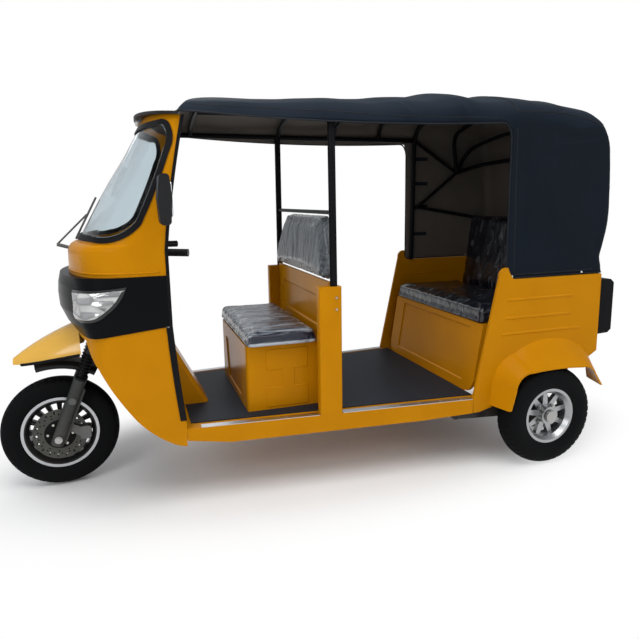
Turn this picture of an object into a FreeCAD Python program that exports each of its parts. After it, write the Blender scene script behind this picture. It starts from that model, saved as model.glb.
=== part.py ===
import FreeCAD, Part
import math
import os
import Sketcher
from FreeCAD import Placement, Rotation, Vector

# Three-wheeled passenger auto rickshaw.
# X points forward, Y to the vehicle's left and Z up. The origin lies on the ground under the
# middle of the whole vehicle. Stations are measured rearward from the front axle, so a piece
# drawn at x = -station moves by front_axle_x to its place.

DIMENSIONS = {
    # overall
    "overall_length": 2902,
    "wheelbase": 2196,
    # front wheel
    "front_tyre_radius": 251,
    "front_tyre_width": 104,
    "front_rim_radius": 152,
    "front_rim_flange": 166,
    "front_rim_width": 84,
    "front_hub_radius": 34,
    "front_hub_width": 112,
    "front_spoke_count": 16,
    "front_spoke_width": 9,
    "front_disc_radius": 115,
    "front_disc_thickness": 4,
    "front_disc_side": 58,
    "front_axle_radius": 9,
    # rear wheels
    "rear_tyre_radius": 240,
    "rear_tyre_width": 122,
    "rear_rim_radius": 127,
    "rear_rim_flange": 140,
    "rear_rim_width": 96,
    "rear_hub_radius": 44,
    "rear_spoke_count": 9,
    "rear_spoke_width": 30,
    "rear_wheel_side": 579,
    "rear_stub_radius": 15,
    "flange_thick": 5,
    "running_gap": 0.05,
    "seat_gap": 0.3,
    # steering and fork
    "steering_rake": 22.5,
    "steering_offset": 40,
    "fork_leg_side": 100,
    "fork_slider_radius": 27,
    "fork_slider_top": 285,
    "fork_tube_radius": 18,
    "fork_crown_height": 400,
    "fork_crown_thick": 24,
    "gaiter_radius": 27,
    "stem_radius": 17,
    "stem_top": 858,
    "head_tube_radius": 29,
    "head_tube_low": 470,
    "head_tube_high": 690,
    "handlebar_radius": 11,
    "grip_radius": 16,
    # cab shell
    "sheet_wall": 16,
    "cab_half_width": 420,
    "band_half_width": 424,
    "band_low": 749,
    "band_top": 985,
    "cowl_top": 1640,
    "cab_head": 1628,
    "visor_thick": 12,
    "cowl_front": 96,
    "screen_foot": 138,
    "screen_foot_height": 1112,
    "screen_head": 451,
    "apron_front": 112,
    "apron_low": 261,
    "seal_width": 22,
    "rubber_width": 15,
    "low_rubber_width": 26,
    "glass_thick": 5,
    # floor and lower body
    "floor_top": 335,
    "floor_thick": 14,
    "floor_front": 508,
    "sill_low": 258,
    "sill_width": 26,
    "side_front_station": 540,
    "side_rear_station": 1836,
    "side_rear_half_width": 530,
    "mat_thick": 5,
    "trim_width": 34,
    "trim_thick": 3,
    # pillars, bulkhead and driver's seat
    "pillar_front": 1100,
    "pillar_rear": 1200,
    "pillar_depth": 42,
    "pillar_low": 250,
    "pillar_top": 905,
    "bulkhead_station": 1170,
    "bulkhead_wall": 12,
    "seat_front": 805,
    "seat_half_width": 325,
    "seat_box_top": 640,
    "cushion_half_width": 378,
    "cushion_thick": 64,
    "driver_back_low": 920,
    "driver_back_top": 1205,
    "driver_back_thick": 48,
    # bench
    "bench_foot": 1870,
    "bench_head": 1925,
    "bench_rear": 2440,
    "bench_half_width": 457,
    "bench_top": 673,
    "bench_wall": 12,
    "bench_cushion_thick": 78,
    "bench_back_top": 1170,
    "bench_back_thick": 80,
    # rear body
    "rear_panel_station": 2544,
    "rear_panel_low": 505,
    "rear_body_top": 893,
    "flare_half_width": 645,
    "flare_wall": 8,
    "tail_lamp_side": 474,
    # canopy
    "canopy_front": 556,
    "canopy_front_half_width": 452,
    "canopy_rear_half_width": 516,
    "canopy_wall": 12,
    "canopy_skirt": 1588,
    "canopy_quarter_front": 2000,
    "canopy_low": 897,
    "canopy_back": 2606,
    "roof_rail_height": 1612,
    "frame_tube_radius": 12.5,
    # chassis and engine
    "rail_side": 230,
    "rail_width": 50,
    "rail_height": 60,
    "engine_width": 340,
}


class Size:
    """A length that carries both its number and the sheet formula that drives it."""

    def __init__(self, number, formula):
        self.number = float(number)
        self.formula = formula

    def __add__(self, other):
        other = sized(other)
        return Size(self.number + other.number, f"({self.formula} + {other.formula})")

    def __sub__(self, other):
        other = sized(other)
        return Size(self.number - other.number, f"({self.formula} - {other.formula})")

    def __mul__(self, other):
        other = sized(other)
        return Size(self.number * other.number, f"({self.formula} * {other.formula})")

    def __truediv__(self, other):
        other = sized(other)
        return Size(self.number / other.number, f"({self.formula} / {other.formula})")

    def __radd__(self, other):
        return sized(other) + self

    def __rsub__(self, other):
        return sized(other) - self

    def __rmul__(self, other):
        return sized(other) * self

    def __neg__(self):
        return Size(-self.number, f"(-{self.formula})")

    def __float__(self):
        return self.number


def sized(value):
    if isinstance(value, Size):
        return value
    return Size(value, f"({value})")


doc = FreeCAD.newDocument("AutoRickshaw")
sheet = doc.addObject("Spreadsheet::Sheet", "Dimensions")
for row, (alias, number) in enumerate(DIMENSIONS.items(), start=1):
    sheet.set(f"A{row}", alias)
    sheet.set(f"B{row}", str(number))
    sheet.setAlias(f"B{row}", alias)
doc.recompute()


class Sheet:
    """Reads a named dimension as a Size: D.wheelbase."""

    def __getattr__(self, name):
        return Size(sheet.get(name), f"Dimensions.{name}")


D = Sheet()
front_axle_x = D.overall_length / 2 - D.front_tyre_radius
rear_end = D.overall_length - D.front_tyre_radius
rake = math.radians(float(D.steering_rake))
NODES = []


def keep(item, label):
    """Registers a finished sub-part under its plain name."""
    item.Label = label
    NODES.append(item)
    return item


def shift_to_axle(item, dy=0, dz=0):
    """Places a piece drawn from the front axle."""
    item.setExpression("Placement.Base.x", front_axle_x.formula)
    if dy:
        item.setExpression("Placement.Base.y", sized(dy).formula)
    if dz:
        item.setExpression("Placement.Base.z", sized(dz).formula)


# ---- sketches and PartDesign features -------------------------------------------------------


def origin_plane(body, role):
    return [part for part in body.Origin.OriginFeatures if part.Role == role][0]


def outline(body, name, role, corners):
    """A closed polygon whose corners are (across, up) Sizes, each bound to the sheet."""
    sketch = body.newObject("Sketcher::SketchObject", name)
    sketch.AttachmentSupport = [(origin_plane(body, role), "")]
    sketch.MapMode = "FlatFace"
    places = [Vector(float(a), float(b), 0) for a, b in corners]
    count = len(places)
    for n in range(count):
        sketch.addGeometry(Part.LineSegment(places[n], places[(n + 1) % count]), False)
    for n in range(count):
        sketch.addConstraint(Sketcher.Constraint("Coincident", n, 2, (n + 1) % count, 1))
    for n, corner in enumerate(corners):
        for kind, value in zip(("DistanceX", "DistanceY"), corner):
            index = sketch.addConstraint(Sketcher.Constraint(kind, -1, 1, n, 1, float(value)))
            sketch.setExpression(f"Constraints[{index}]", sized(value).formula)
    return sketch


def circles(body, name, role, rows):
    """Circles from rows of (across, up, radius), bound to the sheet."""
    sketch = body.newObject("Sketcher::SketchObject", name)
    sketch.AttachmentSupport = [(origin_plane(body, role), "")]
    sketch.MapMode = "FlatFace"
    for n, (across, up, radius) in enumerate(rows):
        centre = Vector(float(across), float(up), 0)
        sketch.addGeometry(Part.Circle(centre, Vector(0, 0, 1), float(radius)), False)
        for kind, value in (("DistanceX", across), ("DistanceY", up)):
            index = sketch.addConstraint(Sketcher.Constraint(kind, -1, 1, n, 3, float(value)))
            sketch.setExpression(f"Constraints[{index}]", sized(value).formula)
        index = sketch.addConstraint(Sketcher.Constraint("Radius", n, float(radius)))
        sketch.setExpression(f"Constraints[{index}]", sized(radius).formula)
    return sketch


def pad(body, name, sketch, length, side="Symmetric", up=0):
    """Pads a sketch; up lifts a one-sided pad's start along the sketch's normal."""
    feature = body.newObject("PartDesign::Pad", name)
    feature.Profile = sketch
    feature.setExpression("Length", sized(length).formula)
    feature.SideType = side
    if up:
        sketch.setExpression("AttachmentOffset.Base.z", sized(up).formula)
    doc.recompute()
    return feature


def pocket(body, name, sketch, length=None, up=0, reverse=False):
    """Cuts a sketch through everything both ways, or to a depth from a height along its normal."""
    before = body.Shape.Volume
    feature = body.newObject("PartDesign::Pocket", name)
    feature.Profile = sketch
    if length is None:
        feature.Type = "ThroughAll"
        feature.SideType = "Symmetric"
    else:
        feature.setExpression("Length", sized(length).formula)
        feature.Reversed = reverse
    if up:
        sketch.setExpression("AttachmentOffset.Base.z", sized(up).formula)
    doc.recompute()
    if body.Shape.Volume > before - 1:
        raise RuntimeError(f"{name} cuts nothing")
    return feature


def spin(body, name, sketch, axis="Y_Axis", angle=360):
    """Turns a sketch about one of the body's own axes."""
    feature = body.newObject("PartDesign::Revolution", name)
    feature.Profile = sketch
    feature.ReferenceAxis = (origin_plane(body, axis), [""])
    feature.Angle = angle
    doc.recompute()
    return feature


def dress(body, kind, name, base, radius, wanted):
    """Fillets or chamfers the edges of base that wanted(edge) picks."""
    edges = [f"Edge{n}" for n, edge in enumerate(base.Shape.Edges, start=1) if wanted(edge)]
    if not edges:
        raise RuntimeError(f"{name} finds no edge")
    feature = body.newObject(f"PartDesign::{kind}", name)
    feature.Base = (base, edges)
    prop = "Radius" if kind == "Fillet" else "Size"
    feature.setExpression(prop, sized(radius).formula)
    doc.recompute()
    return feature


def runs_along(axis):
    """Picks straight edges that run along one axis."""

    def wanted(edge):
        first, last = edge.Vertexes[0].Point, edge.Vertexes[-1].Point
        step = last - first
        if step.Length < 1e-6 or edge.Curve.TypeId != "Part::GeomLine":
            return False
        return abs(step.normalize().dot(axis)) > 0.999

    return wanted


def rim(place, normal, low, high):
    """Picks the edges that lie on a plane and inside a box."""

    def wanted(edge):
        box = edge.BoundBox
        inside = all(a < v for a, v in zip(low, (box.XMin, box.YMin, box.ZMin)))
        inside = inside and all(v < b for b, v in zip(high, (box.XMax, box.YMax, box.ZMax)))
        return inside and all(abs((vertex.Point - place).dot(normal)) < 0.05 for vertex in edge.Vertexes)

    return wanted


def new_body(label):
    return doc.addObject("PartDesign::Body", label)


def plain_prism(label, role, corners, length, side="Symmetric", up=0):
    """A body that is one padded outline."""
    body = new_body(label)
    pad(body, f"{label}_pad", outline(body, f"{label}_outline", role, corners), length, side, up)
    return body


def both_sides(label, source):
    """One node that holds a left piece and its mirror image, which don't touch."""
    mirror = doc.addObject("Part::Mirroring", f"{label}_mirror")
    mirror.Source = source
    mirror.Normal = Vector(0, 1, 0)
    pair = doc.addObject("Part::Compound", f"{label}_pair")
    pair.Links = [source, mirror]
    doc.recompute()
    return keep(pair, label)


# ---- exact curved shapes ---------------------------------------------------------------------


def feature(label, shape):
    """A node whose exact shape is drawn from the front axle in code."""
    item = doc.addObject("Part::Feature", label)
    item.Shape = shape
    item.Placement = Placement(Vector(float(front_axle_x), 0, 0), Rotation())
    return keep(item, label)


def line(a, b):
    return Part.LineSegment(a, b).toShape()


def arc(a, through, b):
    return Part.Arc(a, through, b).toShape()


def basket(place, crown, half_width, corner, bow, base, inset=0):
    """A closed U outline: straight sides, corner arcs and a bowed end, as place(across, along).

    crown is the furthest point along, bow the radius of the end, corner that of its corners."""
    crown, half_width, corner, bow = crown - inset, half_width - inset, corner - inset, bow - inset
    turn = math.asin((half_width - corner) / (bow - corner))
    centre = crown - bow
    shoulder = centre + (bow - corner) * math.cos(turn)
    middle = (turn + math.pi / 2) / 2

    def on_bow(angle):
        return bow * math.sin(angle), centre + bow * math.cos(angle)

    def on_corner(angle):
        across = half_width - corner + corner * math.sin(angle)
        return across, shoulder + corner * math.cos(angle)

    right = [(half_width, base), (half_width, shoulder), on_corner(middle), on_bow(turn)]
    points = [place(-a, b) for a, b in right]
    others = [place(a, b) for a, b in right]
    return Part.Wire([
        line(points[0], points[1]),
        arc(points[1], points[2], points[3]),
        arc(points[3], place(0, crown), others[3]),
        arc(others[3], others[2], others[1]),
        line(others[1], others[0]),
        line(others[0], points[0]),
    ])


def plan_loft(rows, base, inset=0, ruled=True):
    """A solid lofted up through plan outlines, from rows of (height, front station, half width,
    corner radius, bow radius). base is the x of its flat rear end."""
    wires = []
    for height, front, half_width, corner, bow in rows:
        def place(across, along, height=height):
            return Vector(along, across, height)
        wires.append(basket(place, -front, half_width, corner, bow, base, inset))
    return Part.makeLoft(wires, True, ruled)


def side_prism(edges, half_depth, offset=0):
    """A side outline, from edges of (station, height) points, run across the vehicle.

    An edge is a tuple of two points for a line and three for an arc through the middle one."""
    shapes = []
    for points in edges:
        places = [Vector(-a, -half_depth + offset, b) for a, b in points]
        shapes.append(line(*places) if len(places) == 2 else arc(*places))
    return Part.Face(Part.Wire(shapes)).extrude(Vector(0, 2 * half_depth, 0))


def chain(points):
    """Straight edges that join a list of side points and close it."""
    return [(points[n], points[(n + 1) % len(points)]) for n in range(len(points))]


def bent_tube(points, radius, bend):
    """A round bar along straight runs with a tangent arc at each inner point."""
    places = [Vector(*p) for p in points]
    edges = []
    start = places[0]
    for before, corner, after in zip(places, places[1:], places[2:]):
        to_back = (before - corner).normalize()
        to_front = (after - corner).normalize()
        half = to_back.getAngle(to_front) / 2
        reach = bend / math.tan(half)
        leave, join = corner + to_back * reach, corner + to_front * reach
        bisector = (to_back + to_front).normalize()
        centre = corner + bisector * (bend / math.sin(half))
        edges.append(line(start, leave))
        edges.append(arc(leave, centre - bisector * bend, join))
        start = join
    edges.append(line(start, places[-1]))
    path = Part.Wire(edges)
    first = (places[1] - places[0]).normalize()
    ring = Part.Wire(Part.Circle(places[0], first, radius).toShape())
    return path.makePipeShell([ring], True, False)


def rod(a, b, radius):
    a, b = Vector(*a), Vector(*b)
    return Part.makeCylinder(radius, (b - a).Length, a, b - a)


def fused(shapes):
    first, rest = shapes[0], shapes[1:]
    return first.multiFuse(rest).removeSplitter()


def both(shape):
    """A shape with its mirror image on the other side of the vehicle."""
    return Part.makeCompound([shape, shape.mirror(Vector(0, 0, 0), Vector(0, 1, 0))])


# ---- wheels ----------------------------------------------------------------------------------


def wheel_place(item, station, side, radius):
    item.setExpression("Placement.Base.x", (front_axle_x - station).formula)
    item.setExpression("Placement.Base.y", sized(side).formula)
    item.setExpression("Placement.Base.z", sized(radius).formula)


def make_tyre(label, radius, width, rim, flange, rim_width, station, side):
    """A tyre turned about its axle: crowned tread, bulged walls and beads inside the flanges."""
    half = width / 2
    bead = rim_width / 2 - D.flange_thick - D.seat_gap
    seat = rim + D.seat_gap
    wall_high = radius - flange
    body = new_body(label)
    corners = [
        (bead, seat),
        (bead, flange + 2),
        (half * 0.93, flange + wall_high * 0.26),
        (half, flange + wall_high * 0.46),
        (half * 0.95, flange + wall_high * 0.70),
        (half * 0.76, flange + wall_high * 0.91),
        (half * 0.36, radius - wall_high * 0.02),
    ]
    ring = corners + [(sized(0), radius)] + [(-a, b) for a, b in reversed(corners)]
    turned = [(b, a) for a, b in ring]
    spin(body, f"{label}_turn", outline(body, f"{label}_section", "XY_Plane", turned))
    wheel_place(body, station, side, radius)
    return keep(body, label)


def make_rim(label, rim, flange, width, hub_radius, hub_half, bore, spokes, spoke_width, place):
    """A cast alloy rim: flanged well, hub with a bearing bore, and a ring of spokes."""
    half = width / 2
    wall = 6
    body = new_body(label)
    lip = D.flange_thick
    well = [
        (flange, half), (flange, half - lip), (rim, half - lip), (rim, half - 14), (rim - 14, half - 26),
        (rim - 14, -half + 26), (rim, -half + 14), (rim, -half + lip), (flange, -half + lip), (flange, -half),
        (rim - wall, -half), (rim - wall - 14, -half + 20), (rim - wall - 14, half - 20),
        (rim - wall, half),
    ]
    spin(body, f"{label}_well", outline(body, f"{label}_well_section", "XY_Plane", well))
    hub = [(bore, -hub_half), (hub_radius, -hub_half), (hub_radius, hub_half), (bore, hub_half)]
    reach = rim - wall - 12
    spoke = [
        (-spoke_width / 2, hub_radius - 6), (spoke_width / 2, hub_radius - 6),
        (spoke_width / 2 * 0.7, reach), (-spoke_width / 2 * 0.7, reach),
    ]
    thick = width * 0.24
    first = pad(body, f"{label}_spoke", outline(body, f"{label}_spoke_outline", "XZ_Plane", spoke), thick)
    ring = body.newObject("PartDesign::PolarPattern", f"{label}_spokes")
    ring.Originals = [first]
    ring.Axis = (origin_plane(body, "Y_Axis"), [""])
    ring.Angle = 360
    ring.setExpression("Occurrences", spokes.formula)
    body.Tip = ring
    doc.recompute()
    spin(body, f"{label}_hub", outline(body, f"{label}_hub_section", "XY_Plane", hub))
    wheel_place(body, *place)
    return keep(body, label)


front_place = (sized(0), sized(0), D.front_tyre_radius)
make_tyre("front_tyre", D.front_tyre_radius, D.front_tyre_width, D.front_rim_radius, D.front_rim_flange,
          D.front_rim_width, sized(0), sized(0))
make_rim(
    "front_rim", D.front_rim_radius, D.front_rim_flange, D.front_rim_width, D.front_hub_radius,
    D.front_hub_width / 2, D.front_axle_radius + D.running_gap, D.front_spoke_count,
    D.front_spoke_width, front_place,
)
disc = new_body("front_brake_disc")
disc_ring = circles(disc, "disc_ring", "XZ_Plane", [(0, 0, D.front_disc_radius), (0, 0, D.front_hub_radius - 12)])
pad(disc, "disc_pad", disc_ring, D.front_disc_thickness)
hole = circles(disc, "disc_hole", "XZ_Plane", [(D.front_disc_radius - 16, 0, 5)])
first_hole = pocket(disc, "disc_holes_first", hole)
holes = disc.newObject("PartDesign::PolarPattern", "disc_holes")
holes.Originals = [first_hole]
holes.Axis = (origin_plane(disc, "Y_Axis"), [""])
holes.Angle = 360
holes.Occurrences = 18
disc.Tip = holes
doc.recompute()
wheel_place(disc, sized(0), D.front_disc_side, D.front_tyre_radius)
keep(disc, "front_brake_disc")
for side_name, way in (("left", 1), ("right", -1)):
    side = D.rear_wheel_side * way
    make_tyre(
        f"rear_{side_name}_tyre", D.rear_tyre_radius, D.rear_tyre_width, D.rear_rim_radius,
        D.rear_rim_flange, D.rear_rim_width, D.wheelbase, side,
    )
    make_rim(
        f"rear_{side_name}_rim", D.rear_rim_radius, D.rear_rim_flange, D.rear_rim_width,
        D.rear_hub_radius, D.rear_rim_width / 2, D.rear_stub_radius + D.running_gap,
        D.rear_spoke_count, D.rear_spoke_width, (D.wheelbase, side, D.rear_tyre_radius),
    )

# ---- steering: the fork leans with the steering axis -----------------------------------------
# Its own frame has its origin at the wheel centre, Z up along the fork and X forward.


def steering_place(item):
    item.setExpression("Placement.Base.x", front_axle_x.formula)
    item.setExpression("Placement.Base.z", D.front_tyre_radius.formula)
    item.Placement.Rotation = Rotation(Vector(0, 1, 0), -float(D.steering_rake))


def on_steering_axis(height):
    """A point of the steering axis in the vehicle's front axle frame."""
    offset = float(D.steering_offset)
    across = -offset * math.cos(rake) - height * math.sin(rake)
    up = float(D.front_tyre_radius) - offset * math.sin(rake) + height * math.cos(rake)
    return Vector(across, 0, up)


leg = new_body("fork_leg")
leg_spot = [(sized(0), D.fork_leg_side, D.fork_slider_radius)]
slider = pad(leg, "slider", circles(leg, "slider_ring", "XY_Plane", leg_spot), D.fork_slider_top + 34, "One side", -34)
fin = [(-D.fork_slider_radius - 9, -20), (0, -20), (0, 255), (-D.fork_slider_radius - 9, 235)]
fin_sketch = outline(leg, "fin_outline", "XZ_Plane", fin)
pad(leg, "fin", fin_sketch, 12, "Symmetric", -D.fork_leg_side)
upper_spot = [(sized(0), D.fork_leg_side, D.fork_tube_radius)]
pad(leg, "upper_tube", circles(leg, "tube_ring", "XY_Plane", upper_spot), D.fork_crown_height - D.fork_slider_top + 30,
    "One side", D.fork_slider_top - 30)
gaiter_low = D.fork_slider_top + 4
gaiter_spot = [(sized(0), D.fork_leg_side, D.gaiter_radius)]
axle_hole = [(sized(0), sized(0), D.front_axle_radius)]
pocket(leg, "axle_hole", circles(leg, "axle_hole_ring", "XZ_Plane", axle_hole))
rings = 7
pitch = (D.fork_crown_height - 1 - gaiter_low) / rings
wave = [(sized(0), gaiter_low)]
for n in range(rings):
    wave += [(D.gaiter_radius - 6, gaiter_low + pitch * n), (D.gaiter_radius, gaiter_low + pitch * (n + 0.5))]
wave += [(D.gaiter_radius - 6, gaiter_low + pitch * rings), (sized(0), gaiter_low + pitch * rings)]
gaiter = new_body("fork_gaiter")
spin(gaiter, "gaiter_turn", outline(gaiter, "gaiter_section", "XZ_Plane", wave), "Z_Axis")
gaiter.setExpression("Placement.Base.y", D.fork_leg_side.formula)
whole_leg = doc.addObject("Part::Fuse", "whole_fork_leg")
whole_leg.Base = leg
whole_leg.Tool = gaiter
doc.recompute()
steering_place(whole_leg)
both_sides("fork_legs", whole_leg)

crown = new_body("fork_crown")
crown_half = D.fork_leg_side + 27
crown_shape = [
    (24, -crown_half), (24, crown_half), (-30, crown_half), (-D.steering_offset - 30, 34),
    (-D.steering_offset - 30, -34), (-30, -crown_half),
]
crown_pad = pad(crown, "crown_pad", outline(crown, "crown_outline", "XY_Plane", crown_shape), D.fork_crown_thick,
                "One side", D.fork_crown_height)
dress(crown, "Fillet", "crown_rounds", crown_pad, 14, runs_along(Vector(0, 0, 1)))
stem_spot = [(-D.steering_offset, sized(0), D.stem_radius)]
pad(crown, "stem", circles(crown, "stem_ring", "XY_Plane", stem_spot), D.stem_top - D.fork_crown_height,
    "One side", D.fork_crown_height)
steering_place(crown)
keep(crown, "fork_crown_and_stem")

axle = new_body("front_axle")
pad(axle, "axle_rod", circles(axle, "axle_ring", "XZ_Plane", [(0, 0, D.front_axle_radius)]),
    (D.fork_leg_side + D.fork_slider_radius + 10) * 2)
collar_width = D.fork_leg_side - D.fork_slider_radius - D.front_hub_width / 2 - 2
for sign in (1, -1):
    collar = circles(axle, f"collar_{sign + 1}", "XZ_Plane", [(0, 0, D.front_axle_radius + 6)])
    middle = (D.front_hub_width / 2 + 1 + collar_width / 2) * sign
    pad(axle, f"collar_pad_{sign + 1}", collar, collar_width, "Symmetric", middle)
    nut = circles(axle, f"nut_{sign + 1}", "XZ_Plane", [(0, 0, D.front_axle_radius + 7)])
    pad(axle, f"nut_pad_{sign + 1}", nut, 10, "Symmetric", (D.fork_leg_side + D.fork_slider_radius + 5) * sign)
wheel_place(axle, sized(0), sized(0), D.front_tyre_radius)
keep(axle, "front_axle")

mudguard = new_body("front_mudguard")
guard_inner = D.front_tyre_radius + 52
guard_outer = guard_inner + 32
guard_half = D.fork_leg_side - D.fork_slider_radius - 9
guard = [
    (guard_inner, guard_half), (guard_inner, guard_half - 4), (guard_outer - 16, guard_half - 4.5),
    (guard_outer - 4, guard_half - 18), (guard_outer - 4, -guard_half + 18),
    (guard_outer - 16, -guard_half + 5), (guard_inner, -guard_half + 4), (guard_inner, -guard_half),
    (guard_outer - 16, -guard_half), (guard_outer, -guard_half + 18), (guard_outer, guard_half - 18),
    (guard_outer - 16, guard_half),
]
spin(mudguard, "guard_turn", outline(mudguard, "guard_section", "XY_Plane", guard), "Y_Axis", 46)
guard_place = Rotation(Vector(0, 1, 0), -122)
slider_end = Vector(-float(D.fork_slider_top - 14) * math.sin(rake), 0, float(D.fork_slider_top - 14) * math.cos(rake))
boss_spot = guard_place.inverted().multVec(slider_end)
for sign in (1, -1):
    boss = circles(mudguard, f"guard_boss_{sign + 1}", "XZ_Plane", [(boss_spot.x, boss_spot.z, 13)])
    reach = D.fork_leg_side - D.fork_slider_radius - guard_half + 8
    pad(mudguard, f"guard_boss_pad_{sign + 1}", boss, reach, "Symmetric",
        (guard_half - 8 - 0.2 + reach / 2) * sign)
    stay_low, stay_high = boss_spot * 0.96, boss_spot * 1.14
    tangent = Vector(boss_spot.z, 0, -boss_spot.x).normalize() * 13
    corners = [stay_low - tangent, stay_low + tangent, stay_high + tangent, stay_high - tangent]
    stay = outline(mudguard, f"guard_stay_{sign + 1}", "XZ_Plane", [(c.x, c.z) for c in corners])
    pad(mudguard, f"guard_stay_pad_{sign + 1}", stay, 5, "Symmetric", (guard_half - 2.5) * sign)
mudguard.setExpression("Placement.Base.x", front_axle_x.formula)
mudguard.setExpression("Placement.Base.z", D.front_tyre_radius.formula)
mudguard.Placement.Rotation = guard_place
keep(mudguard, "front_mudguard")

bar_top = on_steering_axis(float(D.stem_top) - 6)
grip_end = Vector(-580, 284, 1060)
bar_points = [
    (bar_top.x, 0, bar_top.z), (bar_top.x, 90, bar_top.z + 4), (-444, 232, 1064), tuple(grip_end),
]
right_points = [(x, -y, z) for x, y, z in reversed(bar_points[1:])]
bar = bent_tube(right_points + bar_points[1:], float(D.handlebar_radius), 40)
stem_way = Vector(-math.sin(rake), 0, math.cos(rake))
clamp = Part.makeCylinder(27, 34, bar_top - stem_way * 17, stem_way)
grip_start = Vector(-476, 244.2, 1063.1)
grips = both(rod(grip_start, grip_end + (grip_end - grip_start) * 0.04, float(D.grip_radius)))
stem_space = rod(on_steering_axis(400), on_steering_axis(float(D.stem_top)), float(D.stem_radius + D.seat_gap))
feature("handlebar", fused([bar, clamp] + grips.Solids).cut(stem_space))

caliper = new_body("brake_caliper")
block = [(-130, -30), (-84, -30), (-84, 30), (-130, 30)]
caliper_pad = pad(caliper, "caliper_pad", outline(caliper, "caliper_outline", "XZ_Plane", block), 46)
dress(caliper, "Fillet", "caliper_rounds", caliper_pad, 12, runs_along(Vector(0, 1, 0)))
slot = [(-D.front_disc_radius - 6, -40), (-60, -40), (-60, 60), (-D.front_disc_radius - 6, 60)]
pocket(caliper, "disc_slot", outline(caliper, "disc_slot_outline", "XZ_Plane", slot), D.front_disc_thickness + 12,
       D.front_disc_thickness / 2 + 6)
arm = [(-92, -24), (-92, 24), (-20, 66), (-20, 30)]
arm_middle = D.fork_leg_side - D.fork_slider_radius - D.front_disc_side - 4.1
pad(caliper, "caliper_arm", outline(caliper, "arm_outline", "XZ_Plane", arm), 7, "Symmetric", -arm_middle)
wheel_place(caliper, sized(0), D.front_disc_side, D.front_tyre_radius)
keep(caliper, "brake_caliper")

# ---- cab front: shells lofted up through bowed plan outlines ---------------------------------

wall = float(D.sheet_wall)
cab_half = float(D.cab_half_width)
shoulder_low = float(D.screen_foot_height) - 42
foot = float(D.screen_foot)
nose = float(D.cowl_front)


def cowl_rows():
    """Height, front station, half width, corner radius, bow radius of the upper cab."""
    rows = [(float(D.band_top), nose - 2, cab_half, 190, 760), (shoulder_low, nose, cab_half, 195, 760)]
    steps = 4
    for n in range(1, steps + 1):
        angle = math.pi / 2 * n / steps
        front = nose + (foot - nose) * (1 - math.cos(angle))
        height = shoulder_low + (float(D.screen_foot_height) - shoulder_low) * math.sin(angle)
        rows.append((height, front, cab_half, 195 - 4 * n, 760))
    for height, front in ((1284, 234), (1371, 288), (1457, 345)):
        rows.append((height, front, cab_half, 178, 760))
    rows.append((float(D.cowl_top), float(D.screen_head), cab_half, 175, 760))
    return rows


def shifted(rows, down=0, up=0):
    """The same loft carried past its ends, so that an inner one cuts right through."""
    first, last = rows[0], rows[-1]
    below = (first[0] - down,) + first[1:]
    lean = (last[1] - rows[-2][1]) / (last[0] - rows[-2][0])
    above = (last[0] + up, last[1] + lean * up) + last[2:]
    return [below] + rows[1:-1] + [above]


base_x = -700
door_edge = [
    ((604, 1700), (546, 1450), (498, 1163)),
    ((498, 1163), (489, 1086)),
    ((489, 1086), (490, 780)),
    ((490, 780), (506, 560), (527, 355)),
    ((527, 355), (524, 200)),
]


def door_prism(offset):
    """All that lies ahead of the front edge of the doorways, moved rearward by offset."""
    moved = [tuple((a + offset, b) for a, b in edge) for edge in door_edge]
    top, low = moved[0][0], moved[-1][-1]
    ends = [(low, (-300, low[1])), ((-300, low[1]), (-300, top[1])), ((-300, top[1]), top)]
    return side_prism(moved + ends, 700)


screen_outline = [
    ((-60, 1121), (205, 1121)),
    ((205, 1121), (320, 1131), (398, 1186)),
    ((398, 1186), (465, 1327), (522, 1470)),
    ((522, 1470), (537, 1522), (532, 1562)),
    ((532, 1562), (520, 1584), (494, 1592)),
    ((494, 1592), (-60, 1592)),
    ((-60, 1592), (-60, 1121)),
]


def screen_prism(inset=0):
    """The windscreen opening seen from the side, run across the cab."""
    face = Part.Face(Part.Wire([
        line(*[Vector(-a, -700, b) for a, b in points]) if len(points) == 2
        else arc(*[Vector(-a, -700, b) for a, b in points]) for points in screen_outline
    ]))
    if inset:
        face = Part.Face(face.OuterWire.makeOffset2D(-inset))
    return face.extrude(Vector(0, 1400, 0))


sheet_edge = -float(D.rubber_width) + 6
forward_of_door = door_prism(sheet_edge)
cowl_outer = plan_loft(cowl_rows(), base_x)
cowl_inner = plan_loft(shifted(cowl_rows(), 40, 40), base_x - 60, wall)
cowl_shell = cowl_outer.cut(cowl_inner).common(forward_of_door)
canopy_corner = Part.makeBox(400, 1400, 200, Vector(-float(D.canopy_front) - 396, -700, 1606))
head_radius = 3300


def under_head(crown):
    """All that lies below the cab's cambered head, whose middle is at height crown."""
    middle = Vector(300, 0, crown - head_radius)
    drum = Part.makeCylinder(head_radius, 1300, middle, Vector(-1, 0, 0))
    return drum.common(Part.makeBox(1300, 1400, 1700, Vector(-1000, -700, 150)))


cab_head = float(D.cab_head)
feature("front_cowl", cowl_shell.cut(screen_prism()).cut(canopy_corner).common(under_head(cab_head)))

seal_band = plan_loft(shifted(cowl_rows(), 0, 0), base_x, -5).cut(
    plan_loft(shifted(cowl_rows(), 40, 40), base_x - 60, wall + 4))
seal = seal_band.common(screen_prism(float(D.seat_gap))).cut(screen_prism(float(D.seal_width)))
feature("windscreen_seal", seal)
glass_band = plan_loft(cowl_rows(), base_x, 3).cut(
    plan_loft(shifted(cowl_rows(), 40, 40), base_x - 60, 3 + float(D.glass_thick)))
feature("windscreen", glass_band.common(screen_prism(float(D.seal_width + D.seat_gap))))

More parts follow.
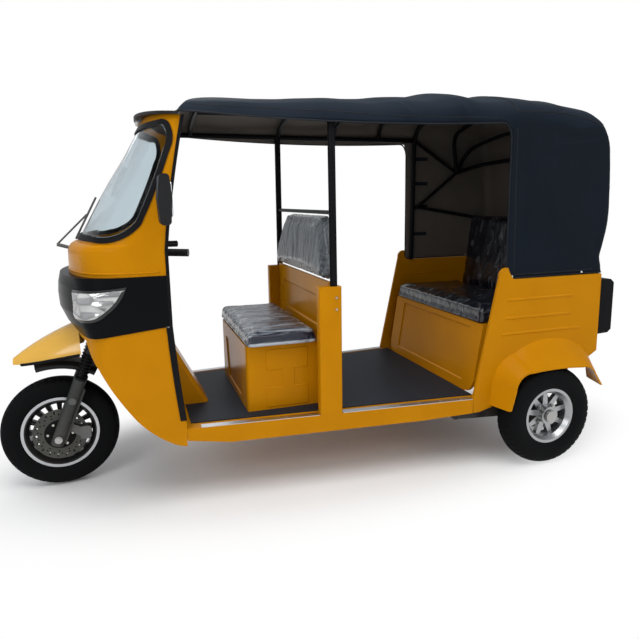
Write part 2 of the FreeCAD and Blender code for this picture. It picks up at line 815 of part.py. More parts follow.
band_half = float(D.band_half_width)
band_low = float(D.band_low)
band_top = float(D.band_top)
band_rows = [
    (band_low, 102, band_half, 85, 1050),
    (790, 70, band_half, 105, 820),
    (845, 46, band_half, 130, 680),
    (900, 43, band_half, 145, 640),
    (945, 47, band_half, 165, 660),
    (band_top, 57, band_half, 185, 740),
]
band_outer = plan_loft(band_rows, base_x)
band_inner = plan_loft(shifted(band_rows, 20, 20), base_x - 60, wall)
ledge = band_outer.cut(plan_loft(
    [(band_top - 60, nose, cab_half, 190, 760), (band_top + 60, nose, cab_half, 190, 760)], base_x - 60, wall))
ledge = ledge.common(Part.makeBox(1000, 1000, 12, Vector(base_x, -500, band_top - 12)))
above_band_edge = side_prism(chain([(-200, band_low), (200, band_low), (640, band_low + 46), (640, 1100), (-200, 1100)]), 700)
lamp_outline = [
    ((124, 938), (230, 940), (328, 948)),
    ((328, 948), (298, 890), (250, 845)),
    ((250, 845), (208, 819), (164, 812)),
    ((164, 812), (134, 818), (124, 850)),
    ((124, 850), (124, 938)),
]


def lamp_prism(inset=0):
    """The D outline of a headlamp, run in from the left side."""
    face = Part.Face(Part.Wire([
        line(*[Vector(-a, 180, b) for a, b in points]) if len(points) == 2
        else arc(*[Vector(-a, 180, b) for a, b in points]) for points in lamp_outline
    ]))
    if inset:
        face = Part.Face(face.OuterWire.makeOffset2D(-inset))
    return face.extrude(Vector(0, 400, 0))


band = band_outer.cut(band_inner).fuse(ledge).common(above_band_edge).common(forward_of_door)
for shape in (lamp_prism(), lamp_prism().mirror(Vector(0, 0, 0), Vector(0, 1, 0))):
    band = band.cut(shape)
feature("nose_band", band)
lamp_body = plan_loft(shifted(band_rows, 0, 0), base_x, -4).cut(
    plan_loft(shifted(band_rows, 20, 20), base_x - 60, wall + 30))
feature("headlamps", both(lamp_body.common(lamp_prism(0.3))))

apron_front = float(D.apron_front)
foot_line = 376
apron_rows = [(200, apron_front, cab_half, 95, 1050), (820, apron_front, cab_half, 95, 1050)]
arch_edge = [
    ((152, 760), (168, 696), (204, 620)),
    ((204, 620), (265, 503), (324, 410)),
    ((324, 410), (397, 331), (474, 278)),
    ((474, 278), (508, 265), (545, float(D.apron_low))),
]


def arch_prism(offset=0):
    """All that lies behind and above the front wheel arch's edge, moved rearward by offset."""
    moved = [tuple((a + offset, b) for a, b in edge) for edge in arch_edge]
    low, top = moved[-1][-1], moved[0][0]
    ends = [(low, (900, low[1])), ((900, low[1]), (900, top[1])), ((900, top[1]), top)]
    return side_prism(moved + ends, 700)


below_band = side_prism(
    chain([(-200, 100), (640, 100), (640, band_low + 46), (200, band_low), (-200, band_low)]), 700)
behind_arch = arch_prism()
front_strip = side_prism(chain([(-200, 726), (900, 726), (900, 800), (-200, 800)]), 700)
apron_outer = plan_loft(apron_rows, base_x)
apron_solid = apron_outer.cut(plan_loft(shifted(apron_rows, 40, 40), base_x - 60, wall))
apron_core = plan_loft(shifted(apron_rows, 40, 40), base_x - 60, wall + 26)
lip_band = apron_outer.cut(apron_core)
lip = lip_band.common(behind_arch).cut(arch_prism(9)).cut(front_strip)
foot_space = side_prism(chain([(300, 200), (620, 200), (620, foot_line), (300, foot_line)]), 700)
apron_door = door_prism(-float(D.low_rubber_width) + 4).fuse(door_prism(0).common(foot_space))
apron = apron_solid.common(behind_arch.fuse(front_strip)).fuse(lip).common(below_band).common(apron_door)
feature("front_apron", apron)

rubber_band = plan_loft([(200, 40, cab_half, 95, 1050), (1652, 40, cab_half, 95, 1050)], base_x, -4).cut(
    plan_loft([(160, 40, cab_half, 95, 1050), (1700, 40, cab_half, 95, 1050)], base_x - 60, wall + 4))
ahead = door_prism(4)
upper_strip = ahead.cut(door_prism(sheet_edge + 0.3)).common(
    side_prism(chain([(300, 790), (700, 790), (700, 1600), (300, 1600)]), 700))
lower_strip = ahead.cut(door_prism(4.3 - float(D.low_rubber_width))).common(
    side_prism(chain([(300, foot_line + 0.3), (700, foot_line + 0.3), (700, 772), (300, 772)]), 700))
middle_strip = ahead.cut(door_prism(sheet_edge + 0.3)).common(
    side_prism(chain([(300, 771), (700, 771), (700, 791), (300, 791)]), 700))
strip = upper_strip.fuse(lower_strip).fuse(middle_strip)
feature("doorway_rubbers", rubber_band.common(strip))

# ---- beak, leg shield, visor and what the cab carries ----------------------------------------

beak_rows = [
    # front station, lower edge, ridge, half width
    (-168, 578, 604, 16),
    (-110, 584, 646, 50),
    (-10, 603, 703, 96),
    (92, 621, 748, 130),
    (150, 632, 770, 148),
]


def beak_wire(row, inset=0):
    """Side facets that rise to a crease, and a crown between the creases."""
    station, low, ridge, half = row
    half, ridge = half - inset, ridge - inset * 1.3
    tall = ridge - low
    shoulder, crest = half * 0.66, low + tall * 0.68
    side, rise = half * 0.90, low + tall * 0.36
    points = [Vector(-station, a, b) for a, b in ((half, low), (side, rise), (shoulder, crest))]
    others = [Vector(p.x, -p.y, p.z) for p in points]
    return Part.Wire([
        arc(*points), arc(points[2], Vector(-station, 0, ridge), others[2]),
        arc(*reversed(others)), line(others[0], points[0]),
    ])


beak_outer = Part.makeLoft([beak_wire(row) for row in beak_rows], True, False)
inner_rows = [(-150, 570, 610, 20)] + [(a, low - 12, ridge, half) for a, low, ridge, half in beak_rows[1:]]
inner_rows.append((210, 626, 792, 156))
beak_inner = Part.makeLoft([beak_wire(row, 7) for row in inner_rows], True, False)
beak = beak_outer.cut(beak_inner)
feature("beak_mudguard", beak.cut(plan_loft(apron_rows, base_x, -0.3)).cut(plan_loft(band_rows, base_x, -0.3)))

shield_line = [
    ((505, 268), (400, 345), (345, 470)),
    ((345, 470), (322, 560), (312, 650)),
    ((312, 650), (290, 722), (235, 742)),
    ((235, 742), (132, 742)),
]
shield_thick = 5
back = [tuple((a + (0 if edge is shield_line[-1] else shield_thick), b + shield_thick * (1 if a < 300 else 0.4))
              for a, b in reversed(edge)) for edge in reversed(shield_line)]
closed = list(shield_line) + [(shield_line[-1][-1], back[0][0])]
for before, after in zip(back, back[1:]):
    closed.append(before)
    if before[-1] != after[0]:
        closed.append((before[-1], after[0]))
closed.append(back[-1])
closed.append((back[-1][-1], shield_line[0][0]))
shield = side_prism(closed, cab_half - wall - 1)
tube_hole = rod(on_steering_axis(300), on_steering_axis(900), float(D.head_tube_radius) + 0.3)
shield = shield.common(plan_loft([(200, apron_front, cab_half, 95, 1050), (820, apron_front, cab_half, 95, 1050)],
                                 base_x, wall + 0.5))
feature("leg_shield", shield.cut(tube_hole).cut(apron_outer.cut(apron_core).common(behind_arch.fuse(front_strip))))

head_low, head_high = float(D.head_tube_low), float(D.head_tube_high)
head = rod(on_steering_axis(head_low), on_steering_axis(head_high), float(D.head_tube_radius))
brace_low = Vector(-float(D.floor_front) - 90, 0, float(D.floor_top + D.mat_thick + D.seat_gap))
brace = bent_tube([brace_low + Vector(0, 0, 6), Vector(-490, 0, 622), on_steering_axis(head_high - 60)], 14, 60)
foot_plate = Part.makeBox(80, 100, 6, brace_low - Vector(36, 50, 0))
stem_bore = rod(on_steering_axis(0), on_steering_axis(900), float(D.stem_radius + D.running_gap))
feature("steering_head", fused([head, brace, foot_plate]).cut(stem_bore))

cap_rows = [(1560, 407, 428, 175, 760), (1700, 407, 428, 175, 760)]
cap_top = cab_head + 0.3 + float(D.visor_thick)
ahead_of_canopy = side_prism(chain([(380, 1560), (560, 1560), (560, 1606), (600, 1647), (380, 1647)]), 700)
cap = plan_loft(cap_rows, base_x).common(ahead_of_canopy).common(under_head(cap_top)).cut(under_head(cab_head + 0.3))
feature("sun_visor", cap)

dash = [
    (120, 1090), (238, 1082), (262, 1050), (262, 960), (240, 948), (240, 1038), (226, 1058), (120, 1070),
]
dash_space = plan_loft(shifted(cowl_rows(), 60, 0), base_x, wall + 0.5)
feature("dashboard", side_prism(chain(dash), 270).common(dash_space))

cover = new_body("column_cover")
cover_side = [(-537, D.floor_top + D.mat_thick), (-658, D.floor_top + D.mat_thick), (-640, 372), (-520, 606), (-470, 606)]
cover_pad = pad(cover, "cover_pad", outline(cover, "cover_outline", "XZ_Plane", cover_side), 250)
dress(cover, "Fillet", "cover_rounds", cover_pad, 22,
      lambda edge: runs_along(Vector(-120, 0, -234).normalize())(edge) and edge.BoundBox.ZMax > 600)
cover_low = D.floor_top + D.mat_thick - 5
cover_space = [(-547, cover_low), (-648, cover_low), (-630, 376), (-513, 606), (-508, 620), (-478, 620), (-478, 606)]
pocket(cover, "cover_space", outline(cover, "cover_space_outline", "XZ_Plane", cover_space), 234, 117)
shift_to_axle(cover)
keep(cover, "column_cover")

mirror = new_body("side_mirror")
mirror_back = [(-462, 1188), (-500, 1188), (-508, 1290), (-500, 1372), (-466, 1372), (-456, 1290)]
mirror_pad = pad(mirror, "mirror_head", outline(mirror, "mirror_outline", "XZ_Plane", mirror_back), 124, "Symmetric", -535)
dress(mirror, "Fillet", "mirror_rounds", mirror_pad, 14, runs_along(Vector(0, 1, 0)))
mirror_arm = [(-478, 1268), (-494, 1268), (-494, 1292), (-478, 1292)]
pad(mirror, "mirror_arm", outline(mirror, "mirror_arm_outline", "XZ_Plane", mirror_arm), 55, "Symmetric", -(D.cab_half_width + 27.5))
shift_to_axle(mirror)
both_sides("mirrors", mirror)

wiper_rows = [
    # from, to, radius
    ((-130, -60, 1066), (-46, -60, 1092), 8),
    ((-46, -60, 1092), (-182, -12, 1222), 4),
    ((-128, -34, 1116), (-226, 4, 1296), 4.5),
]
wiper_parts = [rod(start, end, radius) for start, end, radius in wiper_rows]
feature("wiper", fused(wiper_parts).cut(plan_loft(cowl_rows(), base_x, -0.3)))

# ---- floor, sills, pillars and bulkhead -------------------------------------------------------

side_slope = (D.side_rear_half_width - D.cab_half_width) / (D.side_rear_station - D.side_front_station)


def side_at(station):
    """The body's half width at a station behind the cab front."""
    return D.cab_half_width + (sized(station) - D.side_front_station) * side_slope


floor_rear = D.bench_foot
inner_gap = D.sill_width
floor = plain_prism("floor_pan", "XY_Plane", [
    (-D.floor_front, -(side_at(D.floor_front) - inner_gap)), (-D.floor_front, side_at(D.floor_front) - inner_gap),
    (-floor_rear, side_at(floor_rear) - inner_gap), (-floor_rear, -(side_at(floor_rear) - inner_gap)),
], D.floor_thick, "One side", D.floor_top - D.floor_thick)
shift_to_axle(floor)
keep(floor, "floor_pan")

mat_front, mat_rear = D.side_front_station + 10, D.bench_foot - 8
mat_edge = D.trim_width + inner_gap
mat = new_body("floor_mat")
mat_corners = [
    (-mat_front, -(side_at(mat_front) - mat_edge)), (-mat_front, side_at(mat_front) - mat_edge),
    (-mat_rear, side_at(mat_rear) - mat_edge), (-mat_rear, -(side_at(mat_rear) - mat_edge)),
]
pad(mat, "mat_pad", outline(mat, "mat_outline", "XY_Plane", mat_corners), D.mat_thick, "One side", D.floor_top)
gap = D.seat_gap
seat_rear = D.bulkhead_station - D.bulkhead_wall
wide = D.side_rear_half_width
notch = [
    (-(D.seat_front - gap), -(D.seat_half_width + gap)), (-(D.seat_front - gap), D.seat_half_width + gap),
    (-(seat_rear - gap), D.seat_half_width + gap), (-(seat_rear - gap), wide),
    (-(D.bulkhead_station + gap), wide), (-(D.bulkhead_station + gap), -wide),
    (-(seat_rear - gap), -wide), (-(seat_rear - gap), -(D.seat_half_width + gap)),
]
pocket(mat, "mat_seat_notch", outline(mat, "mat_notch_outline", "XY_Plane", notch))
shift_to_axle(mat)
keep(mat, "floor_mat")

sill_front = D.side_front_station - 13
sill_rear = D.side_rear_station - 2.3
sill = new_body("sill")
sill_plan = [
    (-sill_front, side_at(sill_front)), (-sill_rear, side_at(sill_rear)),
    (-sill_rear, side_at(sill_rear) - inner_gap), (-sill_front, side_at(sill_front) - inner_gap),
]
sill_pad = pad(sill, "sill_pad", outline(sill, "sill_outline", "XY_Plane", sill_plan), D.floor_top - D.sill_low,
               "One side", D.sill_low)
wedge_rows = [
    ("front", [(-sill_front, D.sill_low - 1), (-sill_front, D.sill_low + 26), (-(sill_front + 190), D.sill_low - 1)]),
    ("rear", [(-(sill_rear - 280), D.sill_low - 1), (-sill_rear, D.sill_low + 10), (-sill_rear, D.sill_low - 1)]),
]
for name, corners in wedge_rows:
    pocket(sill, f"sill_{name}_wedge", outline(sill, f"sill_{name}_wedge_outline", "XZ_Plane", corners))
shift_to_axle(sill)
both_sides("sills", sill)

trim_rows = [("front", 587, 1096), ("rear", 1204, 1832)]
trims = []
for name, start, end in trim_rows:
    trim = new_body(f"trim_{name}")
    plan = [
        (sized(-start), side_at(start) - 1), (sized(-end), side_at(end) - 1),
        (sized(-end), side_at(end) - D.trim_width), (sized(-start), side_at(start) - D.trim_width),
    ]
    pad(trim, f"trim_{name}_pad", outline(trim, f"trim_{name}_outline", "XY_Plane", plan), D.trim_thick, "One side", D.floor_top)
    shift_to_axle(trim)
    mirror_trim = doc.addObject("Part::Mirroring", f"trim_{name}_right")
    mirror_trim.Source = trim
    mirror_trim.Normal = Vector(0, 1, 0)
    trims += [trim, mirror_trim]
trim_set = doc.addObject("Part::Compound", "trim_set")
trim_set.Links = trims
doc.recompute()
keep(trim_set, "sill_trims")

pillar = new_body("door_pillar")
pillar_plan = [
    (-D.pillar_front, side_at(D.pillar_front) + 2), (-D.pillar_rear, side_at(D.pillar_rear) + 2),
    (-D.pillar_rear, side_at(D.pillar_rear) - D.pillar_depth), (-D.pillar_front, side_at(D.pillar_front) - D.pillar_depth),
]
pillar_pad = pad(pillar, "pillar_pad", outline(pillar, "pillar_outline", "XY_Plane", pillar_plan),
                 D.pillar_top - D.floor_top, "One side", D.floor_top)
dress(pillar, "Fillet", "pillar_rounds", pillar_pad, 8, runs_along(Vector(0, 0, 1)))
shift_to_axle(pillar)
both_sides("door_pillars", pillar)

bulkhead_half = D.cab_half_width + (D.pillar_front - D.side_front_station) * side_slope - D.pillar_depth
bulkhead = new_body("bulkhead")
bulk = [
    (-bulkhead_half, D.floor_top), (bulkhead_half, D.floor_top),
    (bulkhead_half, D.driver_back_low - D.seat_gap), (-bulkhead_half, D.driver_back_low - D.seat_gap),
]
bulk_pad = pad(bulkhead, "bulkhead_pad", outline(bulkhead, "bulkhead_outline", "YZ_Plane", bulk), D.bulkhead_wall, "One side",
               -D.bulkhead_station)
press_half = bulkhead_half - 57
press_low, press_top, press_corner = 700, D.pillar_top - 73, 40
press = [
    (-press_half, press_low), (press_half, press_low), (press_half, press_top - press_corner),
    (press_half - press_corner, press_top), (-(press_half - press_corner), press_top),
    (-press_half, press_top - press_corner),
]
bulkhead_front = D.bulkhead_station - D.bulkhead_wall
bulk_press = pocket(bulkhead, "bulkhead_press", outline(bulkhead, "press_outline", "YZ_Plane", press), 8, -bulkhead_front)
front_face = Vector(-float(bulkhead_front), 0, 0)
dress(bulkhead, "Chamfer", "bulkhead_press_rim", bulk_press, 7,
      rim(front_face, Vector(1, 0, 0), (-1160, -400, 690), (-1150, 400, 840)))
shift_to_axle(bulkhead)
keep(bulkhead, "bulkhead")

# ---- driver's seat ----------------------------------------------------------------------------

seat = new_body("driver_seat_box")
seat_plan = [
    (-D.seat_front, -D.seat_half_width), (-D.seat_front, D.seat_half_width),
    (-seat_rear, D.seat_half_width), (-seat_rear, -D.seat_half_width),
]
seat_pad = pad(seat, "seat_pad", outline(seat, "seat_outline", "XY_Plane", seat_plan), D.seat_box_top - D.floor_top,
               "One side", D.floor_top)
seat_round = dress(seat, "Fillet", "seat_rounds", seat_pad, 18,
                   lambda edge: runs_along(Vector(0, 0, 1))(edge) and edge.BoundBox.XMax > -900)
pad_rise = 3
pad_start, pad_end, neck_start, neck_end = 891, 1088, 964, 1023
pad_low, neck_low, neck_high, pad_high = 350, 443, 522, 618
side_pads = [
    (-pad_start, pad_low), (-pad_start, neck_low), (-neck_start, neck_low), (-neck_start, neck_high),
    (-pad_start, neck_high), (-pad_start, pad_high), (-pad_end, pad_high), (-pad_end, neck_high),
    (-neck_end, neck_high), (-neck_end, neck_low), (-pad_end, neck_low), (-pad_end, pad_low),
]
raised = pad(seat, "seat_side_pads", outline(seat, "side_pads_outline", "XZ_Plane", side_pads),
             (D.seat_half_width + pad_rise) * 2)
pad_face = float(D.seat_half_width + pad_rise)
left_pads = rim(Vector(0, pad_face, 0), Vector(0, 1, 0), (-1100, 320, 340), (-880, 340, 630))
right_pads = rim(Vector(0, -pad_face, 0), Vector(0, 1, 0), (-1100, -340, 340), (-880, -320, 630))
bevelled = dress(seat, "Chamfer", "side_pads_rims", raised, 2.5, lambda edge: left_pads(edge) or right_pads(edge))
front_press = [(-165, 372), (165, 372), (222, 568), (-222, 568)]
seat_press = pocket(seat, "seat_front_press", outline(seat, "front_press_outline", "YZ_Plane", front_press), 6,
                    -D.seat_front)
dress(seat, "Chamfer", "seat_press_rim", seat_press, 5,
      rim(Vector(-float(D.seat_front), 0, 0), Vector(1, 0, 0), (-810, -230, 365), (-800, 230, 575)))
hollow = [
    (-(D.seat_front + 10), -(D.seat_half_width - 10)), (-(D.seat_front + 10), D.seat_half_width - 10),
    (-(seat_rear - 10), D.seat_half_width - 10), (-(seat_rear - 10), -(D.seat_half_width - 10)),
]
pocket(seat, "seat_hollow", outline(seat, "hollow_outline", "XY_Plane", hollow), D.seat_box_top - D.floor_top - 10,
       D.floor_top, True)
shift_to_axle(seat)
keep(seat, "driver_seat_box")

cushion = new_body("driver_cushion")
cushion_low = D.seat_box_top + gap
cushion_plan = [
    (-(D.seat_front - 8), -D.cushion_half_width), (-(D.seat_front - 8), D.cushion_half_width),
    (-(D.pillar_front - 4), D.cushion_half_width), (-(D.pillar_front - 4), -D.cushion_half_width),
]
cushion_pad = pad(cushion, "cushion_pad", outline(cushion, "cushion_outline", "XY_Plane", cushion_plan), D.cushion_thick,
                  "One side", cushion_low)
cushion_round = dress(cushion, "Fillet", "cushion_corners", cushion_pad, 26, runs_along(Vector(0, 0, 1)))
dress(cushion, "Fillet", "cushion_crown", cushion_round, 14,
      lambda edge: edge.BoundBox.ZMin > float(cushion_low + D.cushion_thick) - 1)
shift_to_axle(cushion)
keep(cushion, "driver_cushion")

backrest = new_body("driver_backrest")
back_front = D.bulkhead_station - D.driver_back_thick
back_outline = [
    (sized(-424), D.driver_back_low), (sized(424), D.driver_back_low), (sized(410), D.driver_back_low + 110),
    (sized(300), D.driver_back_top), (sized(-300), D.driver_back_top), (sized(-410), D.driver_back_low + 110),
]
back_pad = pad(backrest, "backrest_pad", outline(backrest, "backrest_outline", "YZ_Plane", back_outline),
               D.driver_back_thick, "One side", -D.bulkhead_station)
back_round = dress(backrest, "Fillet", "backrest_corners", back_pad, 40, runs_along(Vector(1, 0, 0)))
dress(backrest, "Fillet", "backrest_rounds", back_round, 12,
      lambda edge: edge.BoundBox.XMin > -float(back_front) - 1)
shift_to_axle(backrest)
keep(backrest, "driver_backrest")

# ---- bench ------------------------------------------------------------------------------------

bench = new_body("bench_box")
bench_side = [
    (-D.bench_foot, D.floor_top), (-D.bench_head, D.bench_top), (-D.bench_rear, D.bench_top), (-D.bench_rear, D.floor_top),
]
pad(bench, "bench_pad", outline(bench, "bench_outline", "XZ_Plane", bench_side), D.bench_half_width * 2)
wall_b = D.bench_wall
bench_hollow = [
    (-(D.bench_foot + wall_b), D.floor_top - 20), (-(D.bench_head + wall_b), D.bench_top - wall_b),
    (-(D.bench_rear + 20), D.bench_top - wall_b), (-(D.bench_rear + 20), D.floor_top - 20),
]
pocket(bench, "bench_hollow", outline(bench, "bench_hollow_outline", "XZ_Plane", bench_hollow),
       D.bench_half_width * 2 - wall_b * 2, D.bench_half_width - wall_b)
bench_slope = (D.bench_head - D.bench_foot) / (D.bench_top - D.floor_top)


def bench_face(height):
    """The station of the bench's sloping front at a height."""
    return D.bench_foot + (sized(height) - D.floor_top) * bench_slope


press_low, press_high, press_half = 383, 640, 350
bench_press = [
    (-(bench_face(press_low) - 1), press_low), (-(bench_face(press_high) - 1), press_high),
    (-(bench_face(press_high) + 6), press_high), (-(bench_face(press_low) + 6), press_low),
]
pressed = pocket(bench, "bench_press", outline(bench, "bench_press_outline", "XZ_Plane", bench_press), press_half * 2, press_half)
face_normal = Vector(1, 0, float(bench_slope)).normalize()
dress(bench, "Chamfer", "bench_press_rim", pressed, 5,
      rim(Vector(-float(D.bench_foot), 0, float(D.floor_top)), face_normal, (-1930, -360, 375), (-1860, 360, 650)))
for name, way in (("left", 1), ("right", -1)):
    corner = [(way * (D.bench_half_width + 1), D.floor_top - 1), (way * (D.bench_half_width + 1), D.floor_top + 66),
              (way * (D.bench_half_width - 14), D.floor_top + 22), (way * (D.bench_half_width - 34), D.floor_top + 7),
              (way * (D.bench_half_width - 66), D.floor_top - 1)]
    pocket(bench, f"bench_corner_{name}", outline(bench, f"bench_corner_{name}_outline", "YZ_Plane", corner), 50,
           -(D.bench_foot - 10))
shift_to_axle(bench)
keep(bench, "bench_box")

bench_cushion = new_body("bench_cushion")
bench_low = D.bench_top + gap
bench_plan = [
    (-(D.bench_head - 14), -(D.bench_half_width - 4)), (-(D.bench_head - 14), D.bench_half_width - 4),
    (-(D.bench_rear - 80), D.bench_half_width - 4), (-(D.bench_rear - 80), -(D.bench_half_width - 4)),
]
bench_pad = pad(bench_cushion, "bench_cushion_pad", outline(bench_cushion, "bench_cushion_outline", "XY_Plane", bench_plan),
                D.bench_cushion_thick, "One side", bench_low)
bench_round = dress(bench_cushion, "Fillet", "bench_corners", bench_pad, 26, runs_along(Vector(0, 0, 1)))
dress(bench_cushion, "Fillet", "bench_crown", bench_round, 16,
      lambda edge: edge.BoundBox.ZMin > float(bench_low + D.bench_cushion_thick) - 1)
shift_to_axle(bench_cushion)
keep(bench_cushion, "bench_cushion")

bench_back = new_body("bench_backrest")
back_low = D.bench_top + D.bench_cushion_thick + 8
lean = 60
back_side = [
    (-(D.bench_rear - 76), D.bench_top + gap), (-(D.bench_rear - 70), back_low), (-(D.bench_rear - 76 + lean), D.bench_back_top),
    (-(D.bench_rear - 76 + lean + D.bench_back_thick * 0.7), D.bench_back_top), (-(D.bench_rear - 2), D.bench_top + gap),
]
bb_pad = pad(bench_back, "bench_back_pad", outline(bench_back, "bench_back_outline", "XZ_Plane", back_side),
             D.bench_half_width * 2 - 16)
dress(bench_back, "Fillet", "bench_back_rounds", bb_pad, 16,
      lambda edge: runs_along(Vector(0, 1, 0))(edge) and edge.BoundBox.ZMin > 1000)
shift_to_axle(bench_back)
keep(bench_back, "bench_backrest")

# ---- rear body: side panels with flares, and the tail -------------------------------------------

rear_half = float(D.side_rear_half_width)
panel_wall = 14
rear_panel_x = float(D.rear_panel_station)
body_top = float(D.rear_body_top)
bend_line = [
    ((1916, 285), (1936, 406)),
    ((1936, 406), (1972, 492), (2054, 541)),
    ((2054, 541), (2240, 596), (2420, 556)),
    ((2420, 556), (2470, 524), (2494, 470)),
    ((2494, 470), (2516, 366)),
    ((2516, 366), (2516, 285)),
    ((2516, 285), (1916, 285)),
]
arch_line = [
    ((1944, 285), (1984, 396)),
    ((1984, 396), (2012, 455), (2075, 474)),
    ((2075, 474), (2220, 479), (2363, 472)),
    ((2363, 472), (2418, 458), (2440, 428)),
    ((2440, 428), (2482, 366)),
    ((2482, 366), (2482, 285)),
    ((2482, 285), (1944, 285)),
]


def side_wire(edges, side, grow=0):
    wire = Part.Wire([
        line(*[Vector(-a, side, b) for a, b in points]) if len(points) == 2
        else arc(*[Vector(-a, side, b) for a, b in points]) for points in edges
    ])
    return wire.makeOffset2D(grow) if grow else wire


flare_side = float(D.flare_half_width)
flare_wall = float(D.flare_wall)
flare_outer = Part.makeLoft([side_wire(bend_line, rear_half - 2), side_wire(arch_line, flare_side)], True, True)


def squeezed(edges, wall):
    """The same outline a wall thickness smaller about the wheel, and open below."""
    middle = 2213
    half = 300
    factor = (half - wall) / half
    moved = []
    for edge in edges:
        moved.append(tuple((middle + (a - middle) * factor, b - wall if b > 300 else b - 40) for a, b in edge))
    return moved


flare_inner = Part.makeLoft(
    [side_wire(squeezed(bend_line, flare_wall), rear_half - panel_wall - 4), side_wire(squeezed(arch_line, flare_wall), flare_side + 3)],
    True, True)
flare = flare_outer.cut(flare_inner)
panel_edges = [
    ((1834, 336), (1955, 905)),
    ((1955, 905), (1968, 940), (2000, 948)),
    ((2000, 948), (2012, 920), (2034, body_top)),
    ((2034, body_top), (rear_panel_x, body_top)),
    ((rear_panel_x, body_top), (rear_panel_x, float(D.rear_panel_low))),
    ((rear_panel_x, float(D.rear_panel_low)), (2495, 476)),
    ((2495, 476), (2517, 366)),
    ((2517, 366), (2517, 285)),
    ((2517, 285), (1930, 285)),
    ((1930, 285), (1870, 269)),
    ((1870, 269), (1838, 269)),
    ((1838, 269), (1834, 336)),
]
panel = Part.Face(side_wire(panel_edges, rear_half - panel_wall)).extrude(Vector(0, panel_wall, 0))
panel = panel.cut(Part.Face(side_wire(squeezed(bend_line, flare_wall), 400)).extrude(Vector(0, 300, 0)))
beads = []
for height, start, end in ((798, 2006, 2372), (711, 1998, 2364), (635, 1981, 2424)):
    bead = rod((-start, rear_half - 6, height), (-end, rear_half - 6, height), 10)
    beads += [bead, Part.makeSphere(10, Vector(-start, rear_half - 6, height)), Part.makeSphere(10, Vector(-end, rear_half - 6, height))]
flare_ends = [Part.makeBox(260, 300, 200, Vector(-2560, 400, 166)), Part.makeBox(200, 300, 100, Vector(-2100, 533, 200))]
side_panel = panel.multiFuse([flare] + beads).cut(flare_ends)
feature("rear_side_panels", both(side_panel))

tail = new_body("rear_panel")
tail_half = D.side_rear_half_width - panel_wall - gap
tail_outline = [
    (-tail_half, D.rear_panel_low), (tail_half, D.rear_panel_low), (tail_half, D.rear_body_top), (-tail_half, D.rear_body_top),
]
tail_pad = pad(tail, "tail_pad", outline(tail, "tail_outline", "YZ_Plane", tail_outline), 12, "One side", -D.rear_panel_station)
first_slot = pocket(tail, "louvre_first", outline(tail, "louvre_outline", "YZ_Plane", [
    (sized(-260), D.rear_panel_low + 60), (sized(260), D.rear_panel_low + 60),
    (sized(260), D.rear_panel_low + 72), (sized(-260), D.rear_panel_low + 72)]))
louvres = tail.newObject("PartDesign::LinearPattern", "louvres")
louvres.Originals = [first_slot]
louvres.Direction = (origin_plane(tail, "Z_Axis"), [""])
louvres.Length = 96
louvres.Occurrences = 5
tail.Tip = louvres
shift_to_axle(tail)
doc.recompute()
keep(tail, "rear_panel")

lamp = new_body("tail_lamp")
lamp_side = [
    (-(D.rear_panel_station + 0.1), 580), (-(D.rear_panel_station + 0.1), 862), (-(rear_end - 20), 858),
    (-rear_end, 840), (-rear_end, 600), (-(rear_end - 20), 584),
]
lamp_pad = pad(lamp, "tail_lamp_pad", outline(lamp, "tail_lamp_outline", "XZ_Plane", lamp_side), 62, "Symmetric", -D.tail_lamp_side)
shift_to_axle(lamp)
both_sides("tail_lamps", lamp)

plate = new_body("plate_bracket")
plate_outline_points = [(sized(-170), sized(700)), (sized(170), sized(700)), (sized(170), sized(790)), (sized(-170), sized(790))]
plate_pad = pad(plate, "plate_pad", outline(plate, "plate_outline", "YZ_Plane", plate_outline_points), 4, "One side",
                -(D.rear_panel_station + 14))
for n, across in enumerate((-140, 140)):
    foot_pad = circles(plate, f"plate_foot_{n}", "YZ_Plane", [(across, 745, 12)])
    pad(plate, f"plate_foot_pad_{n}", foot_pad, 10, "One side", -(D.rear_panel_station + 10))
plate_holes = circles(plate, "plate_hole_rings", "YZ_Plane", [(-100, 745, 4), (100, 745, 4)])
pocket(plate, "plate_holes", plate_holes)
shift_to_axle(plate)
keep(plate, "plate_bracket")

# ---- canopy frame -------------------------------------------------------------------------------

tube = float(D.frame_tube_radius)
rail_z = float(D.roof_rail_height)
front_x = 612
post_x = 1171
post_side = float(side_at(post_x)) - 21
stay_z = 1217


canopy_half = float(D.canopy_rear_half_width)
canopy_front_half = float(D.canopy_front_half_width)
canopy_flare = (canopy_half - canopy_front_half) / (2000 - float(D.canopy_front))
crown_rows = [
    # station, crown height
    (500, 1711), (850, 1729), (1171, 1737), (1400, 1746), (1640, 1764), (1742, 1781), (1808, 1781), (1870, 1774),
    (2000, 1772), (2080, 1780), (2150, 1781), (2250, 1770), (2370, 1760), (2500, 1742), (2700, 1700),
]
canopy_rows = []
for station, crown in crown_rows:
    reach = min(station, 2000) - float(D.canopy_front)
    share = min(1, (station - 500) / 1200)
    canopy_rows.append((station, crown, canopy_front_half + reach * canopy_flare, 88 + 32 * share, 1400))
tail_rows = [
    # height, rear station, corner radius
    (760, 2596, 50), (950, 2600, 50), (1010, 2604, 50), (1060, 2618, 52), (1120, 2632, 54), (1220, 2634, 56),
    (1345, 2628, 58), (1440, 2619, 60), (1530, 2608, 64), (1585, 2592, 70), (1630, 2556, 78), (1680, 2490, 90),
    (1740, 2400, 100), (1795, 2290, 110),
]
canopy_wall = float(D.canopy_wall)
canopy_low = float(D.canopy_low)


def canopy_at(station):
    """The canopy's crown height, half width, shoulder and bow radius at a station."""
    for before, after in zip(canopy_rows, canopy_rows[1:]):
        if station <= after[0]:
            share = (station - before[0]) / (after[0] - before[0])
            return [a + (b - a) * share for a, b in zip(before[1:], after[1:])]
    return list(canopy_rows[-1][1:])


def rail_side(station):
    return canopy_at(station)[1] - canopy_wall - tube - 14


